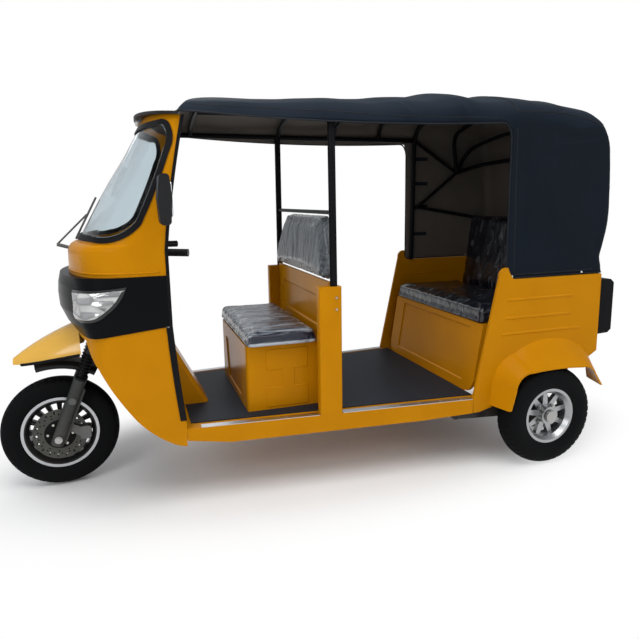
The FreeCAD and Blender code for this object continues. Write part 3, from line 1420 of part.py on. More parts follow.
def at(station, height, side=None):
    return (-station, rail_side(station) if side is None else side, height)


def bow_over(place, crown, half, shoulder, bow, base, radius):
    """A tube that follows an upside-down U from one side over to the other."""
    whole = basket(place, crown, half, shoulder, bow, base)
    path = Part.Wire(whole.Edges[:-1])
    start = path.Edges[0].valueAt(path.Edges[0].FirstParameter)
    ring = Part.Wire(Part.Circle(start, path.Edges[0].tangentAt(path.Edges[0].FirstParameter), radius).toShape())
    swept = path.makePipeShell([ring], True, False)
    return swept if swept.Volume > 0 else swept.reversed()


inner_clear = canopy_wall + tube + 4
members = [rod(at(front_x + 20, rail_z), at(2037, rail_z), tube)]
members.append(rod(at(post_x, float(D.pillar_top) + 0.2, post_side), at(post_x, rail_z), 16))
members.append(rod(at(2030, body_top + 0.3, 489), at(2037, rail_z), tube))
pivot = at(2334, 1423)
members.append(rod(pivot, at(2037, rail_z), tube * 0.7))
members.append(rod(pivot, at(2064, 1217), tube * 0.7))
members.append(rod(at(2064, 1217), at(2030, 1200, 489), tube * 0.7))
mirrored_members = [shape.mirror(Vector(0, 0, 0), Vector(0, 1, 0)) for shape in members]
frame_shape = fused(members + mirrored_members + [rod((-post_x, post_side, stay_z), (-post_x, -post_side, stay_z), 9)])
feature("canopy_frame", frame_shape)

above_rail = Part.makeBox(2000, 1200, 300, Vector(-2400, -600, rail_z))
bows = []
for station in (692, 1171, 1500, 1790, 2037):
    crown, half, shoulder, bow = canopy_at(station)

    def over(across, along, station=station):
        return Vector(-station, across, along)
    hoop = bow_over(over, crown - inner_clear, half - inner_clear - 10, shoulder, bow, rail_z - 110, tube * 0.9)
    bows.append(hoop.common(above_rail).cut(frame_shape))
feature("canopy_bows", Part.makeCompound(bows))

fan = []
fan_rows = [(2290, 1745), (2462, 1652), (2592, 1500)]
for station, height in fan_rows:
    reach = math.hypot(station - 2334, height - 1423)
    way = Vector(-(station - 2334) / reach, 0, (height - 1423) / reach)

    def spread(across, along, way=way):
        return Vector(pivot[0], across, pivot[2]) + way * along
    fan.append(bow_over(spread, reach - inner_clear + 4, pivot[1], 95, 1400, 0, tube * 0.9))
canopy_back = float(D.canopy_back)
waist_side = rail_side(2500)
back_bar = bent_tube([at(2064, 1217), at(canopy_back - 46, 1131, waist_side), at(canopy_back - 46, 1131, -waist_side),
                      at(2064, 1217, -rail_side(2064))], tube * 0.8, 60)
feature("canopy_rear_hoops", Part.makeCompound([fused(fan).cut(frame_shape), back_bar.cut(frame_shape)]))

# ---- canopy -------------------------------------------------------------------------------------


def canopy_solid(inset):
    """The canopy's outer form, or its lining, as one solid over the whole rear of the vehicle."""
    wires = []
    front = canopy_rows[0][0]
    for station, crown, half, shoulder, bow in canopy_rows:
        if station == front:
            station = front - inset

        def place(across, along, station=station):
            return Vector(-station, across, along)
        wires.append(basket(place, crown, half, shoulder, bow, canopy_low - inset * 4, inset))
    solid = Part.makeLoft(wires, True, True)
    tail_wires = []
    for height, back, corner in tail_rows:
        def tail_place(across, along, height=height):
            return Vector(-along, across, height - inset * 0.2)
        tail_wires.append(basket(tail_place, back, canopy_half + 6, corner, 4000, 300, inset))
    return solid.common(Part.makeLoft(tail_wires, True, False))


outer = canopy_solid(0)
inner = canopy_solid(canopy_wall)
brow = float(D.canopy_front)


def ahead_of_brow(offset=0):
    """All that lies ahead of the canopy's front, which rises upright and then leans back."""
    edge = [(brow + offset, 1540), (brow + offset, 1626), (brow + offset + 134, 1760)]
    return side_prism(chain([(400, 1540)] + edge + [(400, 1760)]), 700)


inner = inner.cut(ahead_of_brow(canopy_wall + 5))
cap_space = under_head(cap_top + 0.5).common(Part.makeBox(400, 1400, 400, Vector(-640, -700, 1500)))
canopy = outer.cut(inner).cut(ahead_of_brow()).cut(cap_space)
skirt = float(D.canopy_skirt)
quarter = float(D.canopy_quarter_front)
doorway = side_prism([
    ((300, 1618), (638, 1610)),
    ((638, 1610), (1100, skirt - 2), (1960, skirt + 6)),
    ((1960, skirt + 6), (1992, skirt - 2), (quarter, skirt - 40)),
    ((quarter, skirt - 40), (quarter, 700)),
    ((quarter, 700), (300, 700)),
    ((300, 700), (300, 1618)),
], 700)
canopy = canopy.cut(doorway)
feature("canopy", canopy)

# ---- chassis, engine and rear suspension ----------------------------------------------------------

rail = new_body("chassis_rail")
rail_half = D.rail_width / 2
rail_start, rail_stop = D.floor_front + 40, D.rear_panel_station - 30
rail_top = D.floor_top - D.floor_thick - gap
low_rail = [
    (-rail_start, rail_top), (-rail_start, rail_top - D.rail_height), (-(D.bench_foot - 60), rail_top - D.rail_height),
    (-(D.bench_foot + 60), rail_top + 20), (-rail_stop, rail_top + 20), (-rail_stop, rail_top + D.rail_height + 20),
    (-(D.bench_foot + 90), rail_top + D.rail_height + 20), (-(D.bench_foot + 12), rail_top),
]
pad(rail, "rail_pad", outline(rail, "rail_outline", "XZ_Plane", low_rail), D.rail_width, "Symmetric", -D.rail_side)
shift_to_axle(rail)
rail_mirror = doc.addObject("Part::Mirroring", "chassis_rail_right")
rail_mirror.Source = rail
rail_mirror.Normal = Vector(0, 1, 0)
crosses = [rail, rail_mirror]
cross_rows = [("front", D.floor_front + 60, rail_top - 50), ("middle", D.pillar_front + 40, rail_top - 50),
              ("arm", D.bench_foot - 80, rail_top - 50), ("rear", D.rear_panel_station - 90, rail_top + 30)]
for name, station, height in cross_rows:
    cross = doc.addObject("Part::Box", f"cross_{name}")
    cross.setExpression("Length", "40")
    cross.setExpression("Width", (D.rail_side * 2).formula)
    cross.setExpression("Height", "40")
    cross.setExpression("Placement.Base.x", (front_axle_x - station - 20).formula)
    cross.setExpression("Placement.Base.y", (-D.rail_side).formula)
    cross.setExpression("Placement.Base.z", height.formula)
    crosses.append(cross)
chassis = doc.addObject("Part::MultiFuse", "chassis")
chassis.Shapes = crosses
doc.recompute()
keep(chassis, "chassis_frame")

engine = new_body("engine_block")
engine_half = D.engine_width / 2
engine_plan = [(-2170, -engine_half), (-2170, engine_half), (-2425, engine_half), (-2425, -engine_half)]
engine_pad = pad(engine, "engine_pad", outline(engine, "engine_outline", "XY_Plane", engine_plan), 330, "One side", 218)
dress(engine, "Fillet", "engine_rounds", engine_pad, 20, runs_along(Vector(0, 0, 1)))
shift_to_axle(engine)
keep(engine, "engine_block")

arm = new_body("trailing_arm")
arm_side = [
    (-(D.bench_foot - 100), 232), (-(D.bench_foot - 100), 272), (-(D.wheelbase - 40), D.rear_tyre_radius + 34),
    (-(D.wheelbase + 46), D.rear_tyre_radius + 30), (-(D.wheelbase + 46), D.rear_tyre_radius - 30), (-(D.wheelbase - 40), D.rear_tyre_radius - 34),
]
arm_middle = D.rear_wheel_side - D.rear_tyre_width / 2 - 50
pad(arm, "arm_pad", outline(arm, "arm_outline", "XZ_Plane", arm_side), 44, "Symmetric", -arm_middle)
drum = circles(arm, "drum_ring", "XZ_Plane", [(-D.wheelbase, D.rear_tyre_radius, 92)])
pad(arm, "drum", drum, 36, "Symmetric", -(D.rear_wheel_side - D.rear_tyre_width / 2 - 12))
stub = circles(arm, "stub_ring", "XZ_Plane", [(-D.wheelbase, D.rear_tyre_radius, D.rear_stub_radius)])
stub_start = D.rear_wheel_side - D.rear_tyre_width / 2 - 12
stub_end = D.rear_wheel_side + D.rear_rim_width / 2 + 8
pad(arm, "stub", stub, stub_end - stub_start, "Symmetric", -((stub_end + stub_start) / 2))
pivot_ring = circles(arm, "pivot_ring", "XZ_Plane", [(-(D.bench_foot - 100), 252, 22)])
pivot_reach = arm_middle + 22 - D.rail_side
pad(arm, "pivot_tube", pivot_ring, pivot_reach - D.rail_width / 2, "Symmetric", -(D.rail_side + D.rail_width / 2 + (pivot_reach - D.rail_width / 2) / 2))
shift_to_axle(arm)
both_sides("trailing_arms", arm)

half_shaft = new_body("half_shaft")
shaft_ring = circles(half_shaft, "shaft_ring", "XZ_Plane", [(-D.wheelbase, D.rear_tyre_radius, 14)])
shaft_length = arm_middle - 22 - engine_half - 0.2
pad(half_shaft, "shaft_rod", shaft_ring, shaft_length, "Symmetric", -(shaft_length / 2 + engine_half + 0.1))
shift_to_axle(half_shaft)
both_sides("half_shafts", half_shaft)

damper = new_body("rear_damper")
damper_low = D.rear_tyre_radius + 92 + gap
damper_side = D.bench_half_width + 28
damper_rows = [("body", 19, damper_low, 130), ("spring", 26, damper_low + 60, 170)]
for name, radius, start, tall in damper_rows:
    ring = circles(damper, f"damper_{name}_ring", "XY_Plane", [(-D.wheelbase, damper_side, radius)])
    pad(damper, f"damper_{name}", ring, tall, "One side", start)
shift_to_axle(damper)
both_sides("rear_dampers", damper)

# ---- checks and export ------------------------------------------------------------------------

doc.recompute()
for item in doc.Objects:
    if "Invalid" in item.State or "Error" in item.State:
        raise RuntimeError(f"{item.Name} failed: {item.State}")
os.makedirs("parts", exist_ok=True)
for item in NODES:
    if not item.Shape.Solids or not item.Shape.isValid():
        raise RuntimeError(f"{item.Label} has no valid solid")
    item.Shape.exportStep(f"parts/{item.Label}.step")
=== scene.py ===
import math
from collections import Counter

import bmesh
import bpy
from mathutils import Matrix, Vector, noise
from mathutils.bvhtree import BVHTree


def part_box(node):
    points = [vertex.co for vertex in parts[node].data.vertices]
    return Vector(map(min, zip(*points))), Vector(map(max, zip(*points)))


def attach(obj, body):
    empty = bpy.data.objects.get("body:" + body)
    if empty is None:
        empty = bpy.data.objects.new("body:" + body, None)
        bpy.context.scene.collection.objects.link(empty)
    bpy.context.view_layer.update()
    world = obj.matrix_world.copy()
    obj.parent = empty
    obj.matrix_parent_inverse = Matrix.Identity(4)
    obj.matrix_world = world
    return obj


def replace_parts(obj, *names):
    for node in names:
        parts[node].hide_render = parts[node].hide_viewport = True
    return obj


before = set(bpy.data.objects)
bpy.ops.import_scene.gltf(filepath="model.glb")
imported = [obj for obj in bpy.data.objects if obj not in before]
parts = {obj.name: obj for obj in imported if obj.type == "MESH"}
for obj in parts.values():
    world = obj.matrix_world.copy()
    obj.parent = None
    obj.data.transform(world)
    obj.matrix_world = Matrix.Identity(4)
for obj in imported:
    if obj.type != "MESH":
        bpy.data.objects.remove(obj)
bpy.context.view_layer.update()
scene = bpy.context.scene
scene.view_settings.view_transform = "Standard"

# ---- Camera ----
# It stands nearly three metres out on the vehicle's left, a little ahead of its middle and at the
# height of a standing person's chest, and looks slightly down and back.
yaw, pitch, roll = 0.321, 0.173, -0.0151
level = Vector((math.cos(yaw), math.sin(yaw), 0))
outward = Vector((math.sin(yaw), -math.cos(yaw), 0))
sight = outward * math.cos(pitch) - Vector((0, 0, math.sin(pitch)))
rise = Vector((0, 0, math.cos(pitch))) + outward * math.sin(pitch)
across = level * math.cos(roll) + rise * math.sin(roll)
upward = rise * math.cos(roll) - level * math.sin(roll)
columns = [(-across.x, across.y, across.z), (-upward.x, upward.y, upward.z), (sight.x, -sight.y, -sight.z)]
place = Matrix([[columns[c][r] for c in range(3)] for r in range(3)]).to_4x4()
place.translation = (0.8583, 2.7519, 1.2719)
camera = bpy.data.objects.new("camera", bpy.data.cameras.new("camera"))
camera.matrix_world = place
camera.data.sensor_width = 36
camera.data.lens = 32.396
camera.data.shift_y = -0.0305
camera.data.clip_end = 60
scene.collection.objects.link(camera)
scene.camera = camera

# ---- Studio ----
# A white room: a pale floor that takes a soft shadow and turns to paper white away from the vehicle,
# a broad lamp overhead, weaker ones round it, and a world that is white to the camera and through glass.


def feed(node, values):
    """Sets a node's inputs: a socket is linked to them, anything else becomes their value."""
    for key, value in values.items():
        if isinstance(value, bpy.types.NodeSocket):
            node.id_data.links.new(value, node.inputs[key])
        else:
            node.inputs[key].default_value = value


def maker(tree):
    """What adds nodes to one tree, with their settings first and then their inputs."""
    def add(kind, values=None, **settings):
        node = tree.nodes.new(kind)
        for key, value in settings.items():
            setattr(node, key, value)
        feed(node, values or {})
        return node
    return add


def shader(name):
    """A new material, its Principled node and what adds further nodes to it."""
    finish = bpy.data.materials.new(name)
    finish.use_nodes = True
    return finish, finish.node_tree.nodes["Principled BSDF"], maker(finish.node_tree)


def calc(operation, *values, **settings):
    """A sum on numbers, in the tree that the first of them comes from."""
    return maker(values[0].id_data)("ShaderNodeMath", dict(enumerate(values)), operation=operation,
                                    **settings).outputs[0]


def ranged(value, start=0, end=1, low=0, high=1, **settings):
    """Carries a value from one range to another."""
    spans = {"Value": value, "From Min": start, "From Max": end, "To Min": low, "To Max": high}
    return maker(value.id_data)("ShaderNodeMapRange", spans, **settings).outputs[0]


def mixed(factor, first, second, **settings):
    """A colour between two others, each of them a socket or a plain tone."""
    first, second = [tone if isinstance(tone, bpy.types.NodeSocket) else (*tone[:3], 1) for tone in (first, second)]
    return maker(factor.id_data)("ShaderNodeMix", {"Factor": factor, "A": first, "B": second}, data_type="RGBA",
                                 **settings).outputs["Result"]


def reach_from(spot, scale, centre=(0, 0, 0)):
    """How far a place lies from a centre once its axes are scaled; a nought leaves an axis out."""
    add = maker(spot.id_data)
    moved = add("ShaderNodeVectorMath", {0: spot, 1: scale, 2: tuple(-a for a in centre)}, operation="MULTIPLY_ADD")
    return add("ShaderNodeVectorMath", {0: moved.outputs[0]}, operation="LENGTH").outputs["Value"]


world = bpy.data.worlds.new("white_room")
world.use_nodes = True
room = world.node_tree.nodes
add = maker(world.node_tree)
feed(room["Background"], {"Color": (1, 1, 1, 1), "Strength": 1})
dim = add("ShaderNodeBackground", {"Color": (0.93, 0.96, 1, 1), "Strength": 0.50})
rays = add("ShaderNodeLightPath").outputs
straight = calc("MAXIMUM", rays["Is Camera Ray"], rays["Is Transmission Ray"])
swap = add("ShaderNodeMixShader", {0: straight, 1: dim.outputs[0], 2: room["Background"].outputs[0]})
feed(room["World Output"], {"Surface": swap.outputs[0]})
scene.world = world
for name, spot, aim, size, power, tint in (
        ("overhead", (0.4, 1.4, 4.2), (0, 0, 0.8), 3.4, 112, (1, 0.99, 0.97)),
        ("front_left", (3.6, 3.4, 2.4), (0.4, 0, 0.8), 2.2, 46, (1, 1, 1)),
        ("rear_left", (-3.4, 3.2, 2.0), (-0.8, 0, 0.8), 2.0, 24, (0.96, 0.98, 1)),
        ("right", (0.6, -4.4, 3.6), (0, 0, 0.8), 2.6, 26, (1, 1, 1))):
    lamp = bpy.data.objects.new(name, bpy.data.lights.new(name, "AREA"))
    lamp.data.energy = power
    lamp.data.size = size
    lamp.data.color = tint
    lamp.visible_camera = False
    lamp.visible_transmission = False
    lamp.location = spot
    lamp.rotation_euler = (Vector(spot) - Vector(aim)).to_track_quat("Z", "Y").to_euler()
    scene.collection.objects.link(lamp)

pale, matt, add = shader("pale_floor")
feed(matt, {"Base Color": (0.93, 0.93, 0.93, 1), "Roughness": 0.9})
where = add("ShaderNodeNewGeometry").outputs["Position"]
fade = ranged(reach_from(where, (0.52, 1.15, 0)), 0.62, 1.05, interpolation_type="SMOOTHSTEP")
rays = add("ShaderNodeLightPath").outputs
seen = calc("MAXIMUM", calc("MAXIMUM", rays["Is Camera Ray"], rays["Is Glossy Ray"]), rays["Is Transmission Ray"])
blend = add("ShaderNodeMixShader", {0: calc("MULTIPLY", seen, fade), 1: matt.outputs[0],
                                    2: add("ShaderNodeEmission").outputs[0]})
feed(pale.node_tree.nodes["Material Output"], {"Surface": blend.outputs[0]})
floor_mesh = bpy.data.meshes.new("floor")
floor_mesh.from_pydata([(-14, -14, 0), (14, -14, 0), (14, 14, 0), (-14, 14, 0)], [], [(0, 1, 2, 3)])
floor_mesh.materials.append(pale)
floor = bpy.data.objects.new("floor", floor_mesh)
floor.location.z = -0.0015
scene.collection.objects.link(floor)

# ---- Chassis, engine and suspension ----
# Welded box rails and arms in brushed-on black enamel, with a bare cast engine under the bench.
# Road dust lies on whatever is near the ground.


def group_of(name, inputs, outputs, kind="ShaderNodeTree"):
    """An empty node group with named sockets: each has a label, a type and perhaps a first value."""
    kit = bpy.data.node_groups.new(name, kind)
    for label, socket_kind, *first_value in inputs:
        socket = kit.interface.new_socket(label, in_out="INPUT", socket_type="NodeSocket" + socket_kind)
        if first_value:
            socket.default_value = first_value[0]
    for label, socket_kind in outputs:
        kit.interface.new_socket(label, in_out="OUTPUT", socket_type="NodeSocket" + socket_kind)
    add = maker(kit)
    return kit, add("NodeGroupInput").outputs, add("NodeGroupOutput"), add


def cloudy(spot, scale, detail, rough=0.5, twist=0):
    """Noise that drifts between 0 and 1 through a place."""
    return maker(spot.id_data)("ShaderNodeTexNoise", {"Vector": spot, "Scale": scale, "Detail": detail,
                                                      "Roughness": rough, "Distortion": twist}).outputs[0]


def bumped(surface, height, strength=1, distance=1):
    """Raises a finish by a height."""
    bump = maker(surface.id_data)("ShaderNodeBump", {"Height": height, "Strength": strength, "Distance": distance})
    feed(surface, {"Normal": bump.outputs[0]})


dust_kit, entry, leave, add = group_of("road_dust", [("Coordinates", "Vector"), ("Height", "Float", 0.6),
                                                     ("Amount", "Float", 0.5)], [("Mask", "Float")])
split = add("ShaderNodeSeparateXYZ", {0: entry["Coordinates"]}).outputs
low_down = ranged(split["Z"], 0, entry["Height"], 1, 0)
mottle = ranged(cloudy(entry["Coordinates"], 9, 6, 0.65), 0.35, 0.75)
feed(leave, {"Mask": calc("MULTIPLY", calc("MULTIPLY", low_down, mottle), entry["Amount"], use_clamp=True)})

grain_kit, entry, leave, add = group_of("surface_grain", [
    ("Coordinates", "Vector"), ("Scale", "Float", 300), ("Depth", "Float", 0.0002), ("Waves", "Float", 0)],
    [("Height", "Float"), ("Tone", "Float")])
fine = cloudy(entry["Coordinates"], entry["Scale"], 4)
broad = cloudy(entry["Coordinates"], 7, 3)
rolling = calc("MULTIPLY", broad, entry["Waves"])
feed(leave, {"Height": calc("MULTIPLY_ADD", fine, entry["Depth"], rolling), "Tone": broad})


def enamel(name, tone, shade, rough, coat=0, dust=0.3, dust_height=0.6, dust_tone=(0.3, 0.25, 0.19), metal=0,
           grain=300, depth=0.00012, waves=0, shine=0.16):
    """A painted, cast or moulded finish: two tones that drift into each other, fine grain and road dust."""
    finish, surface, add = shader(name)
    spot = add("ShaderNodeTexCoord").outputs["Object"]
    skin = add("ShaderNodeGroup", {"Coordinates": spot, "Scale": grain, "Depth": depth, "Waves": waves},
               node_tree=grain_kit).outputs
    dirt = add("ShaderNodeGroup", {"Coordinates": spot, "Height": dust_height, "Amount": dust},
               node_tree=dust_kit).outputs["Mask"]
    feed(surface, {"Base Color": mixed(dirt, mixed(skin["Tone"], tone, shade), dust_tone),
                   "Roughness": ranged(dirt, low=rough, high=0.8), "Metallic": metal, "Specular IOR Level": shine,
                   "Coat Weight": coat, "Coat Roughness": 0.08})
    bumped(surface, skin["Height"])
    return finish


def dress(names, finish):
    """Gives pieces of the frame their finish."""
    for name in names:
        parts[name].data.materials.clear()
        parts[name].data.materials.append(finish)


black_enamel = enamel("black_enamel", (0.012, 0.012, 0.013), (0.02, 0.02, 0.021), 0.32, coat=0.1, dust=0.25)
cast_engine = enamel("cast_engine", (0.20, 0.20, 0.20), (0.11, 0.11, 0.11), 0.5, metal=0.8, dust=0.7, grain=700,
                     depth=0.0004)
machined = enamel("machined_steel", (0.50, 0.50, 0.49), (0.38, 0.38, 0.37), 0.3, metal=1, dust=0.2, grain=900)
dress(["chassis_frame", "trailing_arms", "rear_dampers", "plate_bracket", "steering_head", "leg_shield",
       "fork_crown_and_stem"], black_enamel)
tube_enamel = enamel("tube_enamel", (0.005, 0.005, 0.006), (0.008, 0.008, 0.009), 0.4, dust=0.03, shine=0.05)
dress(["canopy_frame", "canopy_bows", "canopy_rear_hoops"], tube_enamel)
dress(["engine_block", "brake_caliper"], cast_engine)
dress(["half_shafts", "front_axle"], machined)

# ---- Body and cab panels ----
# Pressed steel sheet sprayed orange-yellow and left glossy, with a little orange peel and soft ripples
# where the press has drawn it.
yellow_enamel = enamel("yellow_enamel", (0.55, 0.224, 0.0025), (0.47, 0.182, 0.0015), 0.24, dust=0.04, shine=0.04,
                       dust_height=0.45, dust_tone=(0.25, 0.13, 0.03), grain=90, depth=0.00003, waves=0.0007)
dress(["front_cowl", "front_apron", "floor_pan", "sills", "door_pillars", "bulkhead",
       "driver_seat_box", "bench_box", "rear_side_panels", "rear_panel", "column_cover"], yellow_enamel)
# The beak's moulded plastic is toned a paler yellow than the body: painted highlight for the light its upper faces
# catch from above.
beak_plastic = enamel("beak_plastic", (0.80, 0.45, 0.055), (0.72, 0.39, 0.040), 0.22, coat=0.8, dust=0.02,
                      dust_tone=(0.35, 0.22, 0.08), grain=90, depth=0.00003, waves=0.0003, shine=0.5)
dress(["beak_mudguard"], beak_plastic)
band_enamel = enamel("black_band_enamel", (0.0035, 0.004, 0.005), (0.005, 0.0055, 0.0065), 0.3, dust=0,
                     grain=90, depth=0.00003, waves=0.0004, shine=0.05)
dress(["nose_band"], band_enamel)


def form_of(mesh):
    """A mesh's faces, ready for rays to strike."""
    return BVHTree.FromPolygons([v.co.copy() for v in mesh.vertices], [tuple(p.vertices) for p in mesh.polygons])


def bands(form, rings):
    """Faces between each ring of points and the next."""
    for here, after in zip(rings, rings[1:]):
        for n in range(len(here)):
            m = (n + 1) % len(here)
            form.faces.new((here[n], here[m], after[m], after[n]))


def rod(form, rings):
    """Rings of points joined up and closed at both ends."""
    bands(form, rings)
    for end in (rings[0], rings[-1]):
        form.faces.new(end)


def piece_of(name, form, finish, body, slot, smooth_up_to=99, facing=None):
    """A worked form as a piece of one finish; faces with few enough corners are smooth."""
    bmesh.ops.recalc_face_normals(form, faces=form.faces)
    if facing and sum(face.normal.dot(facing) for face in form.faces) < 0:
        bmesh.ops.reverse_faces(form, faces=form.faces)
    mesh = bpy.data.meshes.new(name)
    form.to_mesh(mesh)
    form.free()
    for polygon in mesh.polygons:
        polygon.use_smooth = len(polygon.vertices) <= smooth_up_to
    mesh.materials.append(finish)
    piece = bpy.data.objects.new(name, mesh)
    scene.collection.objects.link(piece)
    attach(piece, body)
    return piece


# The cowl's lower edge is turned out into a narrow flange over the black band.
cowl_form = form_of(parts["front_cowl"].data)
behind_cowl, cowl_rear = Vector((0.70, 0, 1.000)), 0.665
lip_section = ((-0.001, 0.0045), (0.0008, 0.0042), (0.0022, 0.0025), (0.0026, 0), (0.0022, -0.0025),
               (0.0008, -0.0042), (-0.001, -0.0045))
flange, rings = bmesh.new(), []
for n in range(121):
    turn = math.radians(-84 + 168 * n / 120)
    way = Vector((math.cos(turn), math.sin(turn), 0))
    found, facing, _, _ = cowl_form.ray_cast(behind_cowl + way * 0.8, -way)
    if found is not None and facing.z <= 0.7 and found.x >= cowl_rear:
        out = Vector((facing.x, facing.y, 0)).normalized()
        rings.append([flange.verts.new(found + out * a + Vector((0, 0, b))) for a, b in lip_section])
rod(flange, rings)
piece_of("cowl_flange", flange, yellow_enamel, "body", "yellow_paint")


def grown(name, dots, kit, values, body):
    """Runs a Geometry Nodes tree on a small mesh and keeps what it grows as a piece."""
    piece = bpy.data.objects.new(name, dots)
    scene.collection.objects.link(piece)
    step = piece.modifiers.new("grown", "NODES")
    step.node_group = kit
    sockets = {item.name: item.identifier for item in kit.interface.items_tree if item.in_out == "INPUT"}
    for label, value in values.items():
        step[sockets[label]] = value
    shape = bpy.data.meshes.new_from_object(piece.evaluated_get(bpy.context.evaluated_depsgraph_get()))
    piece.modifiers.remove(step)
    piece.data = shape
    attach(piece, body)


def stamped(add, entry, leave, points, shape, turn):
    """Ends a tree: the shape is set on every point and turned, made real and given its finish."""
    copies = add("GeometryNodeInstanceOnPoints", {"Points": points, "Instance": shape, "Rotation": turn})
    real = add("GeometryNodeRealizeInstances", {0: copies.outputs[0]})
    painted = add("GeometryNodeSetMaterial", {"Geometry": real.outputs[0], "Material": entry["Finish"]})
    feed(leave, {0: painted.outputs[0]})


def heads_on(name, places, axis, radius, height, sides, finish, body, dome=True):
    """Rivet, stud or nut heads at the given places, all facing along one axis."""
    dots = bpy.data.meshes.new(name)
    dots.from_pydata([tuple(p) for p in places], [], [])
    kit, entry, leave, add = group_of(name, [
        ("Points", "Geometry"), ("Radius", "Float"), ("Height", "Float"), ("Sides", "Int"), ("Finish", "Material")],
        [("Heads", "Geometry")], "GeometryNodeTree")
    narrow = calc("MULTIPLY", entry["Radius"], 0.62 if dome else 0.94)
    head = add("GeometryNodeMeshCone", {"Vertices": entry["Sides"], "Side Segments": 2, "Radius Top": narrow,
                                        "Radius Bottom": entry["Radius"], "Depth": entry["Height"]})
    turn = add("FunctionNodeAlignRotationToVector", {"Vector": axis}, axis="Z")
    stamped(add, entry, leave, entry["Points"], head.outputs["Mesh"], turn.outputs[0])
    grown(name, dots, kit, {"Radius": radius, "Height": height, "Sides": sides, "Finish": finish}, body)


# Dome-headed rivets hold each centre pillar to the bulkhead.
rivet_steel = enamel("rivet_steel", (0.62, 0.60, 0.56), (0.50, 0.48, 0.44), 0.3, metal=0.9, dust=0.05, grain=900)
pillar_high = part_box("door_pillars")[1]
rivets = [(0.025, side * (pillar_high[1] + 0.0012), height) for side in (1, -1) for height in (0.857, 0.806)]
heads_on("pillar_rivets", rivets, (0, 1, 0), 0.0062, 0.004, 14, rivet_steel, "body")

# ---- Floor mat, door rubbers and sill trims ----
# Ribbed grey rubber cut to the floor, extruded black rubber pushed on to the panel edges, and brushed
# aluminium strips screwed along the sills.
mat_rubber = enamel("mat_rubber", (0.014, 0.018, 0.026), (0.020, 0.025, 0.035), 0.5, dust=0.06, dust_height=1.2,
                    dust_tone=(0.10, 0.09, 0.08), grain=500, depth=0.0003, shine=0.10)
nodes = mat_rubber.node_tree.nodes
add = maker(mat_rubber.node_tree)
ribs = add("ShaderNodeTexWave", {"Vector": nodes["Texture Coordinate"].outputs["Object"], "Scale": 26},
           bands_direction="Y")
rib_bump = add("ShaderNodeBump", {"Distance": 0.0006, "Height": ribs.outputs["Fac"],
                                  "Normal": nodes["Bump"].outputs[0]})
feed(nodes["Principled BSDF"], {"Normal": rib_bump.outputs[0]})
black_rubber = enamel("black_rubber", (0.006, 0.006, 0.007), (0.010, 0.010, 0.011), 0.5, dust=0.1, grain=600,
                      shine=0.06)
sill_metal = enamel("sill_metal", (0.62, 0.63, 0.64), (0.52, 0.53, 0.54), 0.3, metal=1, dust=0.1, grain=800)
dress(["floor_mat"], mat_rubber)
dress(["doorway_rubbers", "windscreen_seal"], black_rubber)
dress(["sill_trims"], sill_metal)
trim_low, trim_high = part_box("sill_trims")
trim_form = form_of(parts["sill_trims"].data)
screws = []
for side in (1, -1):
    for n in range(12):
        x = trim_low[0] + 0.05 + n * (trim_high[0] - trim_low[0] - 0.1) / 11
        for y in range(52, 43, -1):
            found = trim_form.ray_cast(Vector((x, side * y / 100, 1)), Vector((0, 0, -1)))[0]
            if found is not None:
                screws.append(found + Vector((0, -side * 0.012, 0.0004)))
                break
heads_on("sill_screws", screws, (0, 0, 1), 0.0045, 0.0014, 12, rivet_steel, "body")

# ---- Moulded black pieces ----
# Visor, dashboard, wiper, mirror shells, handlebar grips and the inner mudguard, moulded in grained
# black plastic. The mirrors' glass is silvered and lies in a shallow well on the rear faces.
grained_plastic = enamel("grained_plastic", (0.012, 0.012, 0.013), (0.018, 0.018, 0.019), 0.42, dust=0.06,
                         grain=1100, depth=0.0003)
dress(["sun_visor", "dashboard", "mirrors", "front_mudguard"], grained_plastic)
wiper_grey = enamel("wiper_grey", (0.09, 0.09, 0.092), (0.13, 0.13, 0.132), 0.4, metal=0.4, dust=0.02, grain=700)
dress(["wiper"], wiper_grey)
bar_black = enamel("bar_black", (0.012, 0.012, 0.013), (0.017, 0.017, 0.018), 0.3, coat=0.1, dust=0.02, grain=900)
dress(["handlebar"], bar_black)
silvered, surface, add = shader("mirror_silver")
film = cloudy(add("ShaderNodeTexCoord").outputs["Object"], 40, 3)
feed(surface, {"Base Color": (0.80, 0.82, 0.84, 1), "Metallic": 1, "Roughness": ranged(film, low=0.02, high=0.09)})


def plate_of(name, outline, thick, finish, body, slot, way, bulge=0):
    """A thin rounded plate: an outline of points, filled, crowned and given thickness along one way."""
    form = bmesh.new()
    middle = sum(outline, Vector()) / len(outline)
    rings = [[form.verts.new(p) for p in outline]]
    for share in (1, 0.93, 0.75, 0.4):
        height = thick * (0.55 if share == 1 else 1) + bulge * (1 - share ** 2)
        rings.append([form.verts.new(middle + (p - middle) * share + way * height) for p in outline])
    bands(form, rings)
    peak = form.verts.new(middle + way * (thick + bulge))
    for n in range(len(outline)):
        form.faces.new((rings[-1][n], rings[-1][(n + 1) % len(outline)], peak))
    form.faces.new(rings[0])
    piece_of(name, form, finish, body, slot, smooth_up_to=4)


def rounded(middle, half_y, half_z, corner, x, count=8):
    """A rounded rectangle of points standing across the vehicle."""
    points = []
    for turn, (sy, sz) in enumerate(((1, 1), (-1, 1), (-1, -1), (1, -1))):
        for n in range(count + 1):
            angle = math.pi / 2 * (turn + n / count)
            points.append(Vector((x, middle[0] + sy * (half_y - corner) + corner * math.cos(angle),
                                  middle[1] + sz * (half_z - corner) + corner * math.sin(angle))))
    return points


both_sides = ((1, "left"), (-1, "right"))
mirror_low, mirror_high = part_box("mirrors")
for side, label in both_sides:
    points = rounded((side * (mirror_high[1] - 0.046), 1.282), 0.036, 0.064, 0.016, mirror_low[0] + 0.004)
    plate_of(f"mirror_glass_{label}", points, 0.0052, silvered, "body", "mirror_back", Vector((-1, 0, 0)))

